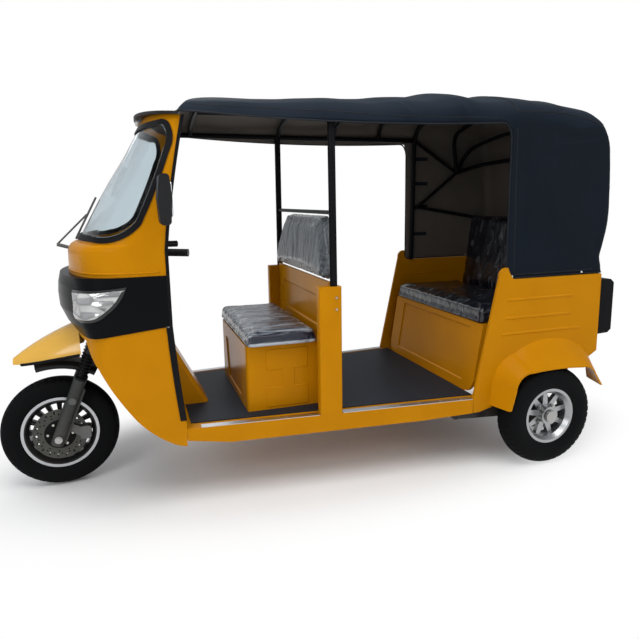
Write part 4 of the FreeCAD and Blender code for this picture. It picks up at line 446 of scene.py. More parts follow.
# ---- Fork legs ----
# Cast grey sliders with black rubber gaiters above them; how far up the raked leg a point lies tells the
# two apart. A plain nut closes the axle's left end.
axle_x, axle_z = 1.2, 0.251
slider_alloy = enamel("slider_alloy", (0.055, 0.058, 0.057), (0.040, 0.042, 0.041), 0.42, metal=0.4, dust=0.2,
                      grain=500)


def repaint(finish, mask, tone):
    """Lays another tone over a finish where a mask says."""
    surface = finish.node_tree.nodes["Principled BSDF"]
    feed(surface, {"Base Color": mixed(mask, surface.inputs["Base Color"].links[0].from_socket, tone)})
    return surface


spot = slider_alloy.node_tree.nodes["Texture Coordinate"].outputs["Object"]
split = maker(slider_alloy.node_tree)("ShaderNodeSeparateXYZ", {0: spot}).outputs
up_the_leg = calc("MULTIPLY_ADD", split["X"], -0.4142, split["Z"])
repaint(slider_alloy, calc("GREATER_THAN", up_the_leg, 0.052), (0.010, 0.010, 0.011))
dress(["fork_legs"], slider_alloy)
fork_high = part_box("fork_legs")[1]
heads_on("axle_nuts", [(axle_x, fork_high[1] + 0.004, axle_z)], (0, 1, 0), 0.0135, 0.010, 6, machined, "steering",
         dome=False)

# ---- Windscreen ----
# Clear bent glass, a little grey, with a faint patchy haze. It turns light only slightly, so what stands
# behind it keeps its place.
windscreen_glass, surface, add = shader("windscreen_glass")
haze = cloudy(add("ShaderNodeTexCoord").outputs["Object"], 2.5, 4)
feed(surface, {"Base Color": mixed(haze, (0.74, 0.80, 0.83), (0.66, 0.72, 0.75)), "IOR": 1.12,
               "Roughness": ranged(haze, 0.4, 0.6, 0, 0.05), "Transmission Weight": 1})
dress(["windscreen"], windscreen_glass)

# ---- Headlamps, clearance lamp and tail lamps ----
# Each headlamp is a black moulded bezel round a chromed, faceted reflector under a clear lens. A small
# white lamp sits under the visor's tip. The tail lamps stack amber, red and clear lenses in black boxes.
bezel = enamel("lamp_bezel", (0.012, 0.012, 0.013), (0.02, 0.02, 0.021), 0.25, coat=0.6, dust=0, grain=900)
dress(["headlamps"], bezel)
lamp_housing = enamel("lamp_housing", (0.006, 0.006, 0.007), (0.009, 0.009, 0.010), 0.45, dust=0.02, grain=900,
                      shine=0.05)
dress(["tail_lamps"], lamp_housing)
reflector, surface, add = shader("faceted_reflector")
spot = add("ShaderNodeTexCoord").outputs["Object"]
drawn = add("ShaderNodeMapping", {"Vector": spot, "Scale": (0.4, 1, 1.5)}).outputs[0]
facets, edges = [add("ShaderNodeTexVoronoi", {"Vector": drawn, "Scale": 15}, feature=kind).outputs
                 for kind in ("F1", "DISTANCE_TO_EDGE")]
# Painted reflections: each facet is toned lighter or darker, and darker towards its edges, for what it mirrors.
painted_facet_reflections = calc("MULTIPLY", ranged(facets["Color"], 0.1, 0.95, 0.16, 0.62),
                  ranged(edges["Distance"], -0.25, 0.16))
feed(surface, {"Base Color": calc("ADD", painted_facet_reflections, 0.10), "Metallic": 0.9, "Roughness": 0.14, "Coat Weight": 0.6,
               "Coat Roughness": 0.02})
bumped(surface, facets["Distance"], 1, 0.02)
lamp_form = form_of(parts["headlamps"].data)
lens_turn, lens_height, face_reach = 0.62, 0.888, 0.22
behind_x, behind_y, start_reach, deepest = 0.86, 0.19, 0.5, 0.42


def on_lamp(place, side):
    """The lamp's face and how it faces, at a place measured across and up from the middle of the lens."""
    turn = lens_turn + place.x / face_reach
    behind = Vector((behind_x, side * behind_y, lens_height + place.y))
    way = Vector((math.cos(turn), side * math.sin(turn), 0))
    found, facing, _, gap = lamp_form.ray_cast(behind + way * start_reach, -way)
    return (found, facing) if found is not None and gap < deepest else None


def circle(count, start=0):
    """Angles spaced evenly round a turn; start is a share of one step."""
    return [2 * math.pi * (n + start) / count for n in range(count)]


points_round, lens_margin = 64, 0.010
for side, label in both_sides:
    outline = []
    for angle in circle(points_round):
        way, reach = Vector((math.cos(angle), math.sin(angle))), 0.26
        while reach > 0.01 and not on_lamp(way * reach, side):
            reach -= 0.001
        outline.append(way * reach)
    inner = []
    for n, p in enumerate(outline):
        edge = outline[(n + 1) % points_round] - outline[n - 1]
        inner.append(p + Vector((-edge.y, edge.x)).normalized() * lens_margin)
    lens, rings = bmesh.new(), []
    for share in (1, 0.985, 0.92, 0.82, 0.7, 0.57, 0.44, 0.31, 0.18, 0.07):
        rings.append([])
        for p in inner:
            hit, drawn_in = None, share
            while hit is None:
                hit = on_lamp(p * drawn_in, side)
                drawn_in -= 0.03
            rings[-1].append(lens.verts.new(hit[0] + hit[1] * (0.0003 if share == 1 else 0.0024)))
    bands(lens, rings)
    lens.faces.new(rings[-1])
    lens_piece = piece_of(f"headlamp_lens_{label}", lens, reflector, "body", "lamp_lens", facing=Vector((1, 0, 0)))
    wall = lens_piece.modifiers.new("wall", "SOLIDIFY")
    wall.thickness = 0.0015
    wall.offset = -1


def lens_plastic(name, tone, shade):
    """Ribbed moulded lens plastic."""
    finish, surface, add = shader(name)
    spot = add("ShaderNodeTexCoord").outputs["Object"]
    cells = add("ShaderNodeTexVoronoi", {"Vector": spot, "Scale": 190}).outputs["Distance"]
    feed(surface, {"Base Color": mixed(cells, tone, shade), "Roughness": 0.16, "Specular IOR Level": 0.3,
                   "Coat Weight": 0.2, "Coat Roughness": 0.03})
    bumped(surface, cells, 0.6, 0.001)
    return finish


white_lens = lens_plastic("white_lens", (0.80, 0.80, 0.78), (0.60, 0.60, 0.58))
red_lens = lens_plastic("red_lens", (0.42, 0.012, 0.010), (0.22, 0.004, 0.004))
amber_lens = lens_plastic("amber_lens", (0.70, 0.20, 0.010), (0.45, 0.10, 0.004))
visor_low, visor_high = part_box("sun_visor")
plate_of("clearance_lamp", rounded((0, visor_low[2] + 0.010), 0.019, 0.011, 0.009, visor_high[0] - 0.022), 0.014,
         white_lens, "body", "lamp_lens", Vector((1, 0, 0)), bulge=0.004)
tail_low, tail_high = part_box("tail_lamps")
tall = tail_high[2] - tail_low[2]
for side, label in both_sides:
    for lens_name, finish, start, end, slot in (("amber", amber_lens, 0.66, 0.95, "lamp_lens"),
                                                ("red", red_lens, 0.30, 0.64, "red_lens"),
                                                ("clear", white_lens, 0.05, 0.28, "lamp_lens")):
        middle = (side * (tail_high[1] - 0.031), tail_low[2] + tall * (start + end) / 2)
        outline = rounded(middle, 0.0235, tall * (end - start) / 2, 0.008, tail_low[0] + 0.0005)
        plate_of(f"tail_lens_{lens_name}_{label}", outline, 0.004, finish, "body", slot, Vector((-1, 0, 0)),
                 bulge=0.003)

# ---- Beak lip and slider bosses ----
# A black rubber bead is pushed on to the beak's lower edges, and each fork slider has a plain round boss
# high on its outer face.


def softened(line, turns):
    """A line of points with its corners eased; its ends stay."""
    for turn in range(turns):
        line = [line[0]] + [(a + b * 2 + c) / 4 for a, b, c in zip(line, line[1:], line[2:])] + [line[-1]]
    return line


def heading(line, n):
    """Which way a line of points runs at one of them."""
    return (line[min(n + 1, len(line) - 1)] - line[max(n - 1, 0)]).normalized()


beak_form = form_of(parts["beak_mudguard"].data)
beak_low, beak_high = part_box("beak_mudguard")
for side, label in both_sides:
    edge = []
    for n in range(70):
        x = beak_low[0] + 0.006 + (beak_high[0] - beak_low[0] - 0.040) * n / 69
        z = beak_low[2] - 0.004
        found = None
        while found is None and z < beak_high[2]:
            z += 0.0015
            found = beak_form.ray_cast(Vector((x, side * 0.6, z)), Vector((0, -side, 0)), 0.6)[0]
        if found is not None:
            edge.append(found)
    edge = softened(edge, 6)
    bead, rings = bmesh.new(), []
    for n, p in enumerate(edge):
        along = heading(edge, n)
        wide = along.cross(Vector((0, 0, 1))).normalized()
        tall = wide.cross(along).normalized()
        centre = p - tall * 0.002
        rings.append([bead.verts.new(centre + wide * (0.0035 * math.cos(a)) + tall * (0.0065 * math.sin(a)))
                      for a in circle(10)])
    rod(bead, rings)
    piece_of(f"beak_lip_{label}", bead, black_rubber, "body", "rubber")
boss_alloy = enamel("boss_alloy", (0.13, 0.135, 0.13), (0.10, 0.105, 0.10), 0.38, metal=0.5, dust=0.1, grain=700)
slider_form = form_of(parts["fork_legs"].data)
rake, up_leg = math.radians(22.5), 0.18
for side, label in both_sides:
    for shift in (0, 0.01, -0.01, 0.02, -0.02):
        start = Vector((axle_x - up_leg * math.sin(rake) + shift, side * 0.4, axle_z + up_leg * math.cos(rake)))
        found = slider_form.ray_cast(start, Vector((0, -side, 0)))[0]
        if found is not None:
            heads_on(f"slider_boss_{label}", [found + Vector((0, side * 0.0005, 0))], (0, side, 0), 0.0165, 0.004,
                     36, boss_alloy, "steering", dome=False)
            break

# ---- Tyres ----
# Black rubber covers turned about their axles: a rounded crown with a zigzag groove on each side of the
# middle, slots cut in from both shoulders, and rings moulded in the sidewalls.
tyre_rubber = enamel("tyre_rubber", (0.0042, 0.0044, 0.005), (0.006, 0.0062, 0.0066), 0.62, dust=0.12,
                     dust_height=0.12, dust_tone=(0.03, 0.028, 0.026), grain=420, depth=0.0003, shine=0.05)
# Shares of the half width and of the rise from bead to crown, from one bead up to the shoulder.
sidewall = [(-0.80, 0.000), (-0.84, 0.030), (-0.88, 0.075), (-0.92, 0.13), (-0.955, 0.20), (-0.975, 0.27),
            (-0.985, 0.31), (-0.990, 0.33), (-1.0, 0.36), (-1.0, 0.42), (-0.995, 0.50), (-0.98, 0.57),
            (-0.965, 0.60), (-0.965, 0.63), (-0.95, 0.67), (-0.92, 0.72), (-0.88, 0.775), (-0.83, 0.83),
            (-0.78, 0.87)]
tread_edge, shoulder_rise = 0.78, 0.87
groove_depth, sipe_depth = 0.0042, 0.0028


def tyre(node, bead, body, turns, blocks):
    """A tyre round one axle; bead is the radius where it grips the rim, blocks the count of its tread."""
    low_corner, high_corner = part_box(node)
    place = Vector([(a + b) / 2 for a, b in zip(low_corner, high_corner)])
    rise = (high_corner[2] - low_corner[2]) / 2 - bead
    half = (high_corner[1] - low_corner[1]) / 2
    crown = [tread_edge * (n / 15 - 1) for n in range(1, 30)]
    profile = [(side, bead + rise * share) for side, share in sidewall]
    profile += [(side, bead + rise * (1 - (1 - shoulder_rise) * (abs(side) / tread_edge) ** 2.3)) for side in crown]
    profile += [(-side, high) for side, high in reversed(profile[:len(sidewall)])]
    profile += [(0.74, bead - 0.001), (-0.74, bead - 0.001)]
    rubber, rings = bmesh.new(), []
    for angle in circle(turns):
        blocks_round = angle * blocks / (2 * math.pi)
        swing = abs(blocks_round % 1 - 0.5) * 2
        ring = []
        for m, (side, high) in enumerate(profile):
            cut = 0
            if m < len(profile) - 2 and abs(side) < 0.86 and high > bead + rise * 0.70:
                in_zigzag = abs(abs(side) - (0.26 + 0.09 * swing)) < 0.045
                phase = (blocks_round + (0.5 if side > 0 else 0) + abs(side) * 0.5) % 1
                if in_zigzag or (0.46 < abs(side) < 0.85 and phase < 0.22):
                    cut = groove_depth
                if abs(side) < 0.16 and (blocks_round + side * 1.2) % 1 < 0.13:
                    cut = sipe_depth
            out, up = (high - cut) * math.cos(angle), (high - cut) * math.sin(angle)
            ring.append(rubber.verts.new(place + Vector((out, side * half, up))))
        rings.append(ring)
    bands(rubber, rings + rings[:1])
    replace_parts(piece_of(f"{node}_tread", rubber, tyre_rubber, body, "rubber"), node)


for node, body, bead, blocks in (
        ("front_tyre", "front_wheel", 0.164, 50), ("rear_left_tyre", "rear_left_wheel", 0.134, 44),
        ("rear_right_tyre", "rear_right_wheel", 0.134, 44)):
    tyre(node, bead, body, 300, blocks)

# ---- Wheels and brake disc ----
# The front rim is black with its outer lip turned bright. The rear rims are silver castings, each held by
# four nuts round a plain cap. The brake disc's rings of holes are painted shade: flat dark discs on its face.
front_rim_paint = enamel("front_rim_paint", (0.010, 0.010, 0.011), (0.014, 0.014, 0.015), 0.35, coat=0.1, dust=0.1,
                         grain=700)


def ringed(finish, radius, tone, outward):
    """Turns a front wheel finish to another tone past a radius from the axle: outward of it, or inward."""
    spot = finish.node_tree.nodes["Texture Coordinate"].outputs["Object"]
    away = reach_from(spot, (1, 0, 1), (axle_x, 0, axle_z))
    past = ranged(away, radius - 0.0005 * outward, radius + 0.0005 * outward)
    surface = repaint(finish, past, tone)
    if outward > 0:
        feed(surface, {"Metallic": past})


ringed(front_rim_paint, 0.1520, (0.52, 0.53, 0.55), 1)
dress(["front_rim"], front_rim_paint)
# The rim's own spokes are found by rays round the axle; a plumper cast spoke is laid over each.
rim_form = form_of(parts["front_rim"].data)
rays_round = 720
on_spoke = []
for angle in circle(rays_round):
    start = Vector((axle_x + 0.125 * math.cos(angle), 0.3, axle_z + 0.125 * math.sin(angle)))
    found = rim_form.ray_cast(start, Vector((0, -1, 0)))[0]
    on_spoke.append(found is not None and found.y > -0.045)
first_gap = on_spoke.index(False)
centres, run = [], []
for k in range(first_gap, first_gap + rays_round + 1):
    if on_spoke[k % rays_round]:
        run.append(k)
    elif run:
        centres.append(math.pi * (run[0] + run[-1]) / rays_round)
        run = []
spokes = bmesh.new()
for angle in centres:
    way, aside = Vector((math.cos(angle), 0, math.sin(angle))), Vector((-math.sin(angle), 0, math.cos(angle)))
    rings = []
    for reach, half, y_low, y_high in ((0.032, 0.006, -0.016, 0.018), (0.09, 0.0075, -0.013, 0.015),
                                       (0.13, 0.0105, -0.013, 0.015), (0.151, 0.0125, -0.018, 0.020)):
        section = ((-half, y_low), (half, y_low), (half, y_high - 0.004), (half * 0.7, y_high),
                   (-half * 0.7, y_high), (-half, y_high - 0.004))
        middle = Vector((axle_x, 0, axle_z)) + way * reach
        rings.append([spokes.verts.new(middle + aside * a + Vector((0, b, 0))) for a, b in section])
    rod(spokes, rings)
piece_of("front_spokes", spokes, front_rim_paint, "front_wheel", "black_paint", smooth_up_to=0)
wheel_silver = enamel("wheel_silver", (0.46, 0.47, 0.48), (0.34, 0.35, 0.36), 0.26, metal=0.9, dust=0.2, grain=500)
dress(["rear_left_rim", "rear_right_rim"], wheel_silver)
disc_steel = enamel("disc_steel", (0.060, 0.060, 0.054), (0.090, 0.090, 0.082), 0.42, metal=0.5, dust=0.05,
                    grain=900)
ringed(disc_steel, 0.067, (0.006, 0.006, 0.006), -1)
dress(["front_brake_disc"], disc_steel)
# Painted shade: flat dark discs on the disc's face stand for its holes, where only shade shows through.
hole_shade_finish = enamel("drilled_dark", (0.004, 0.004, 0.004), (0.008, 0.008, 0.008), 0.7, dust=0, grain=900)
disc_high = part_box("front_brake_disc")[1]
holes = [(axle_x + radius * math.cos(a), disc_high[1], axle_z + radius * math.sin(a))
         for radius, count, start in ((0.104, 18, 0), (0.092, 18, 0.5), (0.080, 12, 0.25))
         for a in circle(count, start)]
heads_on("disc_holes", holes, (0, 1, 0), 0.0036, 0.0004, 10, hole_shade_finish, "front_wheel", dome=False)
bolt_circle = 0.052
bolts = [(axle_x + bolt_circle * math.cos(a), disc_high[1] + 0.001, axle_z + bolt_circle * math.sin(a))
         for a in circle(6)]
heads_on("disc_bolts", bolts, (0, 1, 0), 0.0062, 0.0035, 6, rivet_steel, "front_wheel", dome=False)
rear_x, rear_z = -0.996, 0.24
for side, label in both_sides:
    rim_form = form_of(parts[f"rear_{label}_rim"].data)
    nuts = []
    for angle in circle(4, 0.5):
        x, z = rear_x + bolt_circle * math.cos(angle), rear_z + bolt_circle * math.sin(angle)
        found = rim_form.ray_cast(Vector((x, side * 0.8, z)), Vector((0, -side, 0)))[0]
        nuts.append((x, (found.y if found is not None else side * 0.60) + side * 0.005, z))
    heads_on(f"wheel_nuts_{label}", nuts, (0, side, 0), 0.0085, 0.012, 6, machined, f"rear_{label}_wheel",
             dome=False)
    hub_face = max(abs(rim_form.ray_cast(Vector((rear_x + reach, side * 0.8, rear_z)), Vector((0, -side, 0)))[0].y)
                   for reach in (0.02, 0.025, 0.03, 0.035))
    heads_on(f"hub_cap_{label}", [(rear_x, side * (hub_face + 0.004), rear_z)], (0, side, 0), 0.030, 0.010, 40,
             machined, f"rear_{label}_wheel", dome=False)

# ---- Canopy ----
# One skin of navy coated canvas with a brown-grey back, sewn from roof, quarter and back panels and
# drawn tight over the bows. It sags a little between them, and creases where they push it up.
hood_form = form_of(parts["canopy"].data)
# Lines run in from a box round the hood towards a block inside it, and the cloth lies where they strike.
core_front, core_rear, core_side, core_top = 0.35, -1.20, 0.30, 1.50
reach_front, reach_rear, reach_side, reach_top = 0.93, -1.525, 0.60, 1.90
foot_z, lowest_strike, quarter_x, quarter_z = 0.8978, 0.935, -0.8006, 1.549
brow_top, brow_low, bow_radius = 1.6418, 1.6133, 3.3
edge_rows, skirt_rows = 10, 43


def steps(start, end, count):
    """Places from a start up to an end that the next run begins with."""
    return [start + (end - start) * n / count for n in range(count)]


stations = (steps(reach_front, core_front, 17) + steps(core_front, quarter_x, 77)
            + steps(quarter_x, core_rear, 27) + steps(core_rear, reach_rear, 16) + [reach_rear])
columns_y = (steps(reach_side, core_side, 14) + steps(core_side, -core_side, 40)
             + steps(-core_side, -reach_side, 14) + [-reach_side])
last_i, last_j = len(stations) - 1, len(columns_y) - 1
quarter_i = min(range(len(stations)), key=lambda n: abs(stations[n] - quarter_x))


def hem_height(x):
    """The lower edge of the cloth along the side, from the brow back to the quarter panel."""
    s = axle_x - x
    if s < 0.638:
        return 1.6189 - 0.008 * (s - 0.3) / 0.338
    if s < 1.96:
        a, b, c = 0.638, 1.1, 1.96
        return (0.0008 + 1.610 * (s - b) * (s - c) / ((a - b) * (a - c))
                + 1.586 * (s - a) * (s - c) / ((b - a) * (b - c)) + 1.594 * (s - a) * (s - b) / ((c - a) * (c - b)))
    return 1.5624 + math.sqrt(max(0, 0.034 ** 2 - (s - 1.9688) ** 2))


def core_of(x, y, z):
    """The nearest place on the block inside the hood that lines are drawn in towards."""
    return Vector((min(core_front, max(core_rear, x)), min(core_side, max(-core_side, y)), min(core_top, z)))


def pull(x, y, z, level=False):
    """Where the cloth lies on a line drawn in from outside towards the middle of the hood."""
    outside, core = Vector((x, y, z)), core_of(x, y, z)
    if level:
        core.z = z
    return hood_form.ray_cast(outside, (core - outside).normalized(), 1.3)[0]


def foot_of(x, y):
    """The cloth's lower edge under a place on the box that it is drawn in from."""
    if x == reach_front and abs(y) < reach_side:
        across_y = min(abs(y), core_side + (abs(y) - core_side) * 0.5)
        crown = brow_top - (bow_radius - math.sqrt(bow_radius ** 2 - across_y ** 2))
        return pull(x, y, max(crown, brow_low), True)
    height = quarter_z if x <= quarter_x else hem_height(x)
    for turn in range(3):
        found = pull(x, y, height, True)
        height = hem_height(found.x) if x > quarter_x else quarter_z
    return found


feet = {(i, j): foot_of(stations[i], columns_y[j]) for i in range(last_i + 1) for j in range(last_j + 1)
        if i in (0, last_i) or j in (0, last_j)}


def knot_place(i, j, k):
    """The cloth at one knot of the grid."""
    x, y = stations[i], columns_y[j]
    if k == edge_rows:
        return pull(x, y, reach_top)
    foot = feet[i, j]
    if k == 0:
        return foot
    if k < 0:
        low = foot.z + (foot_z - foot.z) * -k / skirt_rows
        found = pull(x, y, max(low, lowest_strike), True)
        found.z = low
        return found
    core = core_of(x, y, foot.z)
    share = math.hypot(x - core.x, y - core.y) / math.hypot(foot.x - core.x, foot.y - core.y)
    low = core_top + (foot.z - core_top) * share
    return pull(x, y, low + (reach_top - low) * k / edge_rows)


quads = []
for i in range(last_i):
    for j in range(last_j):
        quads.append([(i, j, edge_rows), (i, j + 1, edge_rows), (i + 1, j + 1, edge_rows), (i + 1, j, edge_rows)])
    for k in range(-skirt_rows, edge_rows):
        if k >= 0 or i >= quarter_i:
            quads.append([(i, 0, k), (i, 0, k + 1), (i + 1, 0, k + 1), (i + 1, 0, k)])
            quads.append([(i, last_j, k), (i + 1, last_j, k), (i + 1, last_j, k + 1), (i, last_j, k + 1)])
for j in range(last_j):
    for k in range(-skirt_rows, edge_rows):
        quads.append([(last_i, j, k), (last_i, j, k + 1), (last_i, j + 1, k + 1), (last_i, j + 1, k)])
        if k >= 0:
            quads.append([(0, j, k), (0, j + 1, k), (0, j + 1, k + 1), (0, j, k + 1)])
knots = sorted({knot for quad in quads for knot in quad})
row_of = {knot: n for n, knot in enumerate(knots)}
cloth_mesh = bpy.data.meshes.new("canopy_cloth")
cloth_mesh.from_pydata([knot_place(*knot) for knot in knots], [],
                       [[row_of[knot] for knot in quad] for quad in quads])
cloth = bmesh.new()
cloth.from_mesh(cloth_mesh)
bmesh.ops.recalc_face_normals(cloth, faces=cloth.faces)
free_knots = [v for v in cloth.verts if not v.is_boundary]
for turn in range(4):
    bmesh.ops.smooth_vert(cloth, verts=free_knots, factor=0.5, use_axis_x=True, use_axis_y=True, use_axis_z=True)
# How far each bow lies behind the front axle.
bow_stations = (0.60, 0.692, 1.171, 1.5, 1.79, 2.037, 2.29, 2.47, 2.60)
creases = [
    # a path of stations and heights on the cloth's side, then the crease's width and depth
    ([(1.462, 1.700), (1.474, 1.677), (1.498, 1.640), (1.515, 1.612)], 0.011, 0.0055),
    ([(1.500, 1.690), (1.520, 1.660), (1.540, 1.640)], 0.014, -0.005),
    ([(1.735, 1.725), (1.742, 1.708), (1.766, 1.655), (1.779, 1.606)], 0.011, 0.006),
    ([(1.770, 1.712), (1.792, 1.668), (1.805, 1.630)], 0.016, -0.006),
    ([(1.800, 1.600), (1.860, 1.596), (1.900, 1.602)], 0.012, 0.003),
    ([(2.225, 1.605), (2.301, 1.577), (2.387, 1.560), (2.462, 1.588), (2.530, 1.615)], 0.017, 0.0065),
    ([(2.250, 1.575), (2.320, 1.548), (2.400, 1.535), (2.480, 1.560)], 0.020, -0.007),
    ([(2.284, 1.549), (2.362, 1.520), (2.430, 1.504), (2.50, 1.515)], 0.016, 0.004),
    ([(2.169, 1.470), (2.240, 1.450), (2.338, 1.440)], 0.030, -0.004),
    ([(2.56, 1.50), (2.585, 1.35), (2.588, 1.20)], 0.022, 0.004),
    ([(2.50, 1.06), (2.53, 1.00), (2.56, 0.965)], 0.020, -0.005),
    ([(2.08, 1.50), (2.085, 1.25), (2.07, 0.98)], 0.030, -0.003),
    ([(2.22, 1.38), (2.26, 1.15), (2.28, 0.95)], 0.045, 0.0025),
    ([(0.700, 1.640), (0.800, 1.652), (0.900, 1.655)], 0.014, 0.003),
]


def crease_at(s, z, path, width, depth):
    """How far a fold along a path lifts the cloth at a point, fading out at its ends."""
    nearest, along, run = 9, 0, 0
    total = sum(math.dist(a, b) for a, b in zip(path, path[1:]))
    for a, b in zip(path, path[1:]):
        leg = math.dist(a, b)
        share = min(1, max(0, ((s - a[0]) * (b[0] - a[0]) + (z - a[1]) * (b[1] - a[1])) / leg ** 2))
        gap = math.dist((s, z), (a[0] + (b[0] - a[0]) * share, a[1] + (b[1] - a[1]) * share))
        if gap < nearest:
            nearest, along = gap, run + leg * share
        run += leg
    fade = math.sin(math.pi * min(1, max(0, 0.12 + 0.76 * along / total)))
    return depth * fade * math.exp(-(nearest / width) ** 2)


def lift(place, way):
    """How far the cloth stands in from or out of its form at a point that faces a given way."""
    s, side = axle_x - place.x, abs(way.y)
    wander = noise.noise(Vector((place.x * 5, place.y * 5, place.z * 5)))
    ripple = noise.noise(Vector((place.x * 11 + 7, place.y * 9, place.z * 7)))
    height = -0.0035 + 0.0022 * wander + 0.0012 * ripple
    upper = min(1, max(0, (place.z - 1.56) / 0.06))
    for before, after in zip(bow_stations, bow_stations[1:]):
        if before <= s < after:
            share = (s - before) / (after - before)
            height -= 0.018 * (after - before) * math.sin(math.pi * share) ** 2 * upper * (0.45 + 0.55 * way.z)
    if side > 0.25:
        shift = 0 if place.y > 0 else 0.013
        for path, width, depth in creases:
            if abs(s - path[0][0]) < 0.5:
                height += crease_at(s + shift, place.z, path, width, depth) * min(1, (side - 0.25) / 0.3)
    if way.x < -0.4:
        fold = math.sin(place.y * 11 + 2.2 * wander + 1.7 * math.sin(place.z * 5))
        height += 0.0030 * fold * min(1, max(0, (1.62 - place.z) / 0.2)) * (-way.x)
        height += crease_at(place.y, place.z, [(-0.30, 1.44), (-0.05, 1.40), (0.22, 1.45)], 0.03, -0.004)
        height += crease_at(place.y, place.z, [(-0.38, 1.02), (0.0, 0.985), (0.38, 1.02)], 0.03, -0.004)
    lowest, proudest = -0.011, 0.0035
    return max(lowest, min(proudest, height))


cloth.normal_update()
moves = [(v, v.normal * lift(v.co, v.normal)) for v in cloth.verts]
for v, move in moves:
    v.co += move * 0.6 if v.is_boundary else move
bmesh.ops.smooth_vert(cloth, verts=free_knots, factor=0.35, use_axis_x=True, use_axis_y=True, use_axis_z=True)
thread_map = cloth.loops.layers.uv.new("threads")
for face in cloth.faces:
    way = face.normal
    flat_way = max(range(3), key=lambda n: abs(way[n]) * (1.15 if n == 2 else 1))
    for loop in face.loops:
        x, y, z = loop.vert.co
        loop[thread_map].uv = ((y, z), (x, z), (x, y))[flat_way]
cloth.to_mesh(cloth_mesh)
cloth_area = sum(face.calc_area() for face in cloth.faces)
cloth.free()
for polygon in cloth_mesh.polygons:
    polygon.use_smooth = True
canopy_skin = bpy.data.objects.new("canopy_skin", cloth_mesh)
scene.collection.objects.link(canopy_skin)
thickness = canopy_skin.modifiers.new("cloth", "SOLIDIFY")
thickness.thickness = 0.0024
thickness.offset = -1
thickness.material_offset = 1

canopy_cloth, surface, add = shader("canopy_cloth")
threads = add("ShaderNodeUVMap", uv_map="threads").outputs[0]
spot = add("ShaderNodeTexCoord").outputs["Object"]
warp, weft = [add("ShaderNodeTexWave", {"Vector": threads, "Scale": 190, "Distortion": 0.6, "Detail": 1},
                  bands_direction=way).outputs["Fac"] for way in "XY"]
woven = calc("MULTIPLY", warp, weft)
drift = cloudy(spot, 3.2, 5, 0.6)
crumple = cloudy(spot, 14, 5, 0.55, 0.8)
navy = mixed(drift, (0.0052, 0.0078, 0.0125), (0.0095, 0.0140, 0.0215))
# Painted light: faces turned up to the overhead lamp are toned greyer and lighter than the hanging sides.
facing_up = add("ShaderNodeSeparateXYZ", {"Vector": add("ShaderNodeNewGeometry").outputs["Normal"]}).outputs["Z"]
painted_top_light = mixed(ranged(facing_up, 0.1, 0.8), navy, (0.0145, 0.0210, 0.0310))
feed(surface, {"Base Color": mixed(woven, painted_top_light, (0.75, 0.76, 0.80), blend_type="MULTIPLY"),
               "Roughness": ranged(drift, low=0.42, high=0.62), "Specular IOR Level": 0.035, "Sheen Weight": 0.008,
               "Sheen Tint": (0.55, 0.66, 0.85, 1)})
bumped(surface, calc("MULTIPLY_ADD", woven, 0.00012, calc("MULTIPLY", crumple, 0.0035)), 0.7)
lining = enamel("canopy_lining", (0.085, 0.074, 0.064), (0.110, 0.096, 0.083), 0.7, dust=0, grain=800, depth=0.0003)
cloth_mesh.materials.append(canopy_cloth)
cloth_mesh.materials.append(lining)
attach(canopy_skin, "body")
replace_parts(canopy_skin, "canopy")

# Welted seams join the roof, quarter and back panels, and a bound hem runs round every free edge. Each is
# a cord of folded cloth laid on the skin.
skin_form = form_of(cloth_mesh)


def on_skin(start, way):
    """Where a line strikes the cloth and how the cloth faces there, or nothing."""
    found, facing, _, _ = skin_form.ray_cast(Vector(start), Vector(way))
    return (found, facing) if found is not None else None


def on_side(s, z, side):
    """The cloth's side at a distance behind the front axle and a height."""
    return on_skin((axle_x - s, side * 0.9, z), (0, -side, 0))


def eased(path, count):
    """More points along a path, spaced by its length and rounded at its corners."""
    legs = [0]
    for a, b in zip(path, path[1:]):
        legs.append(legs[-1] + math.dist(a, b))
    points = []
    for n in range(count):
        along = legs[-1] * n / (count - 1)
        m = min(max(k for k in range(len(legs)) if legs[k] <= along + 1e-9), len(path) - 2)
        points.append(Vector(path[m]).lerp(Vector(path[m + 1]), (along - legs[m]) / (legs[m + 1] - legs[m])))
    return softened(points, 3)


def welt(name, places, ways, thick, width):
    """A low rounded strip of folded cloth that follows places on the skin."""
    strip, rings = bmesh.new(), []
    for n, (p, way) in enumerate(zip(places, ways)):
        aside = heading(places, n).cross(way).normalized()
        rings.append([strip.verts.new(p + aside * (width / 2 * math.cos(a)) + way * (thick * math.sin(a)))
                      for a in circle(8)])
    rod(strip, rings)
    piece_of(name, strip, hem_cloth, "body", "canopy_cloth")


hem_cloth = enamel("hem_cloth", (0.0055, 0.0075, 0.011), (0.010, 0.013, 0.018), 0.5, dust=0, grain=1500,
                   depth=0.0003)
# Each seam's name, how many points it gets, and its path of distances behind the front axle and heights.
side_seams = (
    ("shelf_seam", 90, [(2.045, 1.646), (2.188, 1.650), (2.309, 1.647), (2.415, 1.631), (2.500, 1.604),
                        (2.538, 1.563), (2.568, 1.510), (2.585, 1.44), (2.590, 1.30)]),
    ("quarter_hem_seam", 60, [(2.0335, 1.57), (2.037, 1.30), (2.044, 0.915)]),
    ("low_hem_seam", 50, [(2.044, 0.915), (2.30, 0.915), (2.50, 0.917)]),
    ("roof_hem_seam", 90, [(0.62, 1.640), (1.1, 1.628), (1.55, 1.612), (1.96, 1.619)]),
    ("cross_seam", 14, [(2.038, 1.646), (2.038, 1.72)]),
    ("rear_cross_seam", 10, [(2.300, 1.648), (2.296, 1.70)]))
struck = [(f"{name}_{label}", [on_side(s, z, side) for s, z in eased(path, count)])
          for side, label in both_sides for name, count, path in side_seams]
for name, s in (("roof_cross_seam", 2.038), ("roof_rear_cross_seam", 2.296)):
    struck.append((name, [on_skin((axle_x - s, 0.44 - 0.88 * n / 60, 2.2), (0, 0, -1)) for n in range(61)]))
seam_lines = [(name, *zip(*[hit for hit in line if hit])) for name, line in struck]
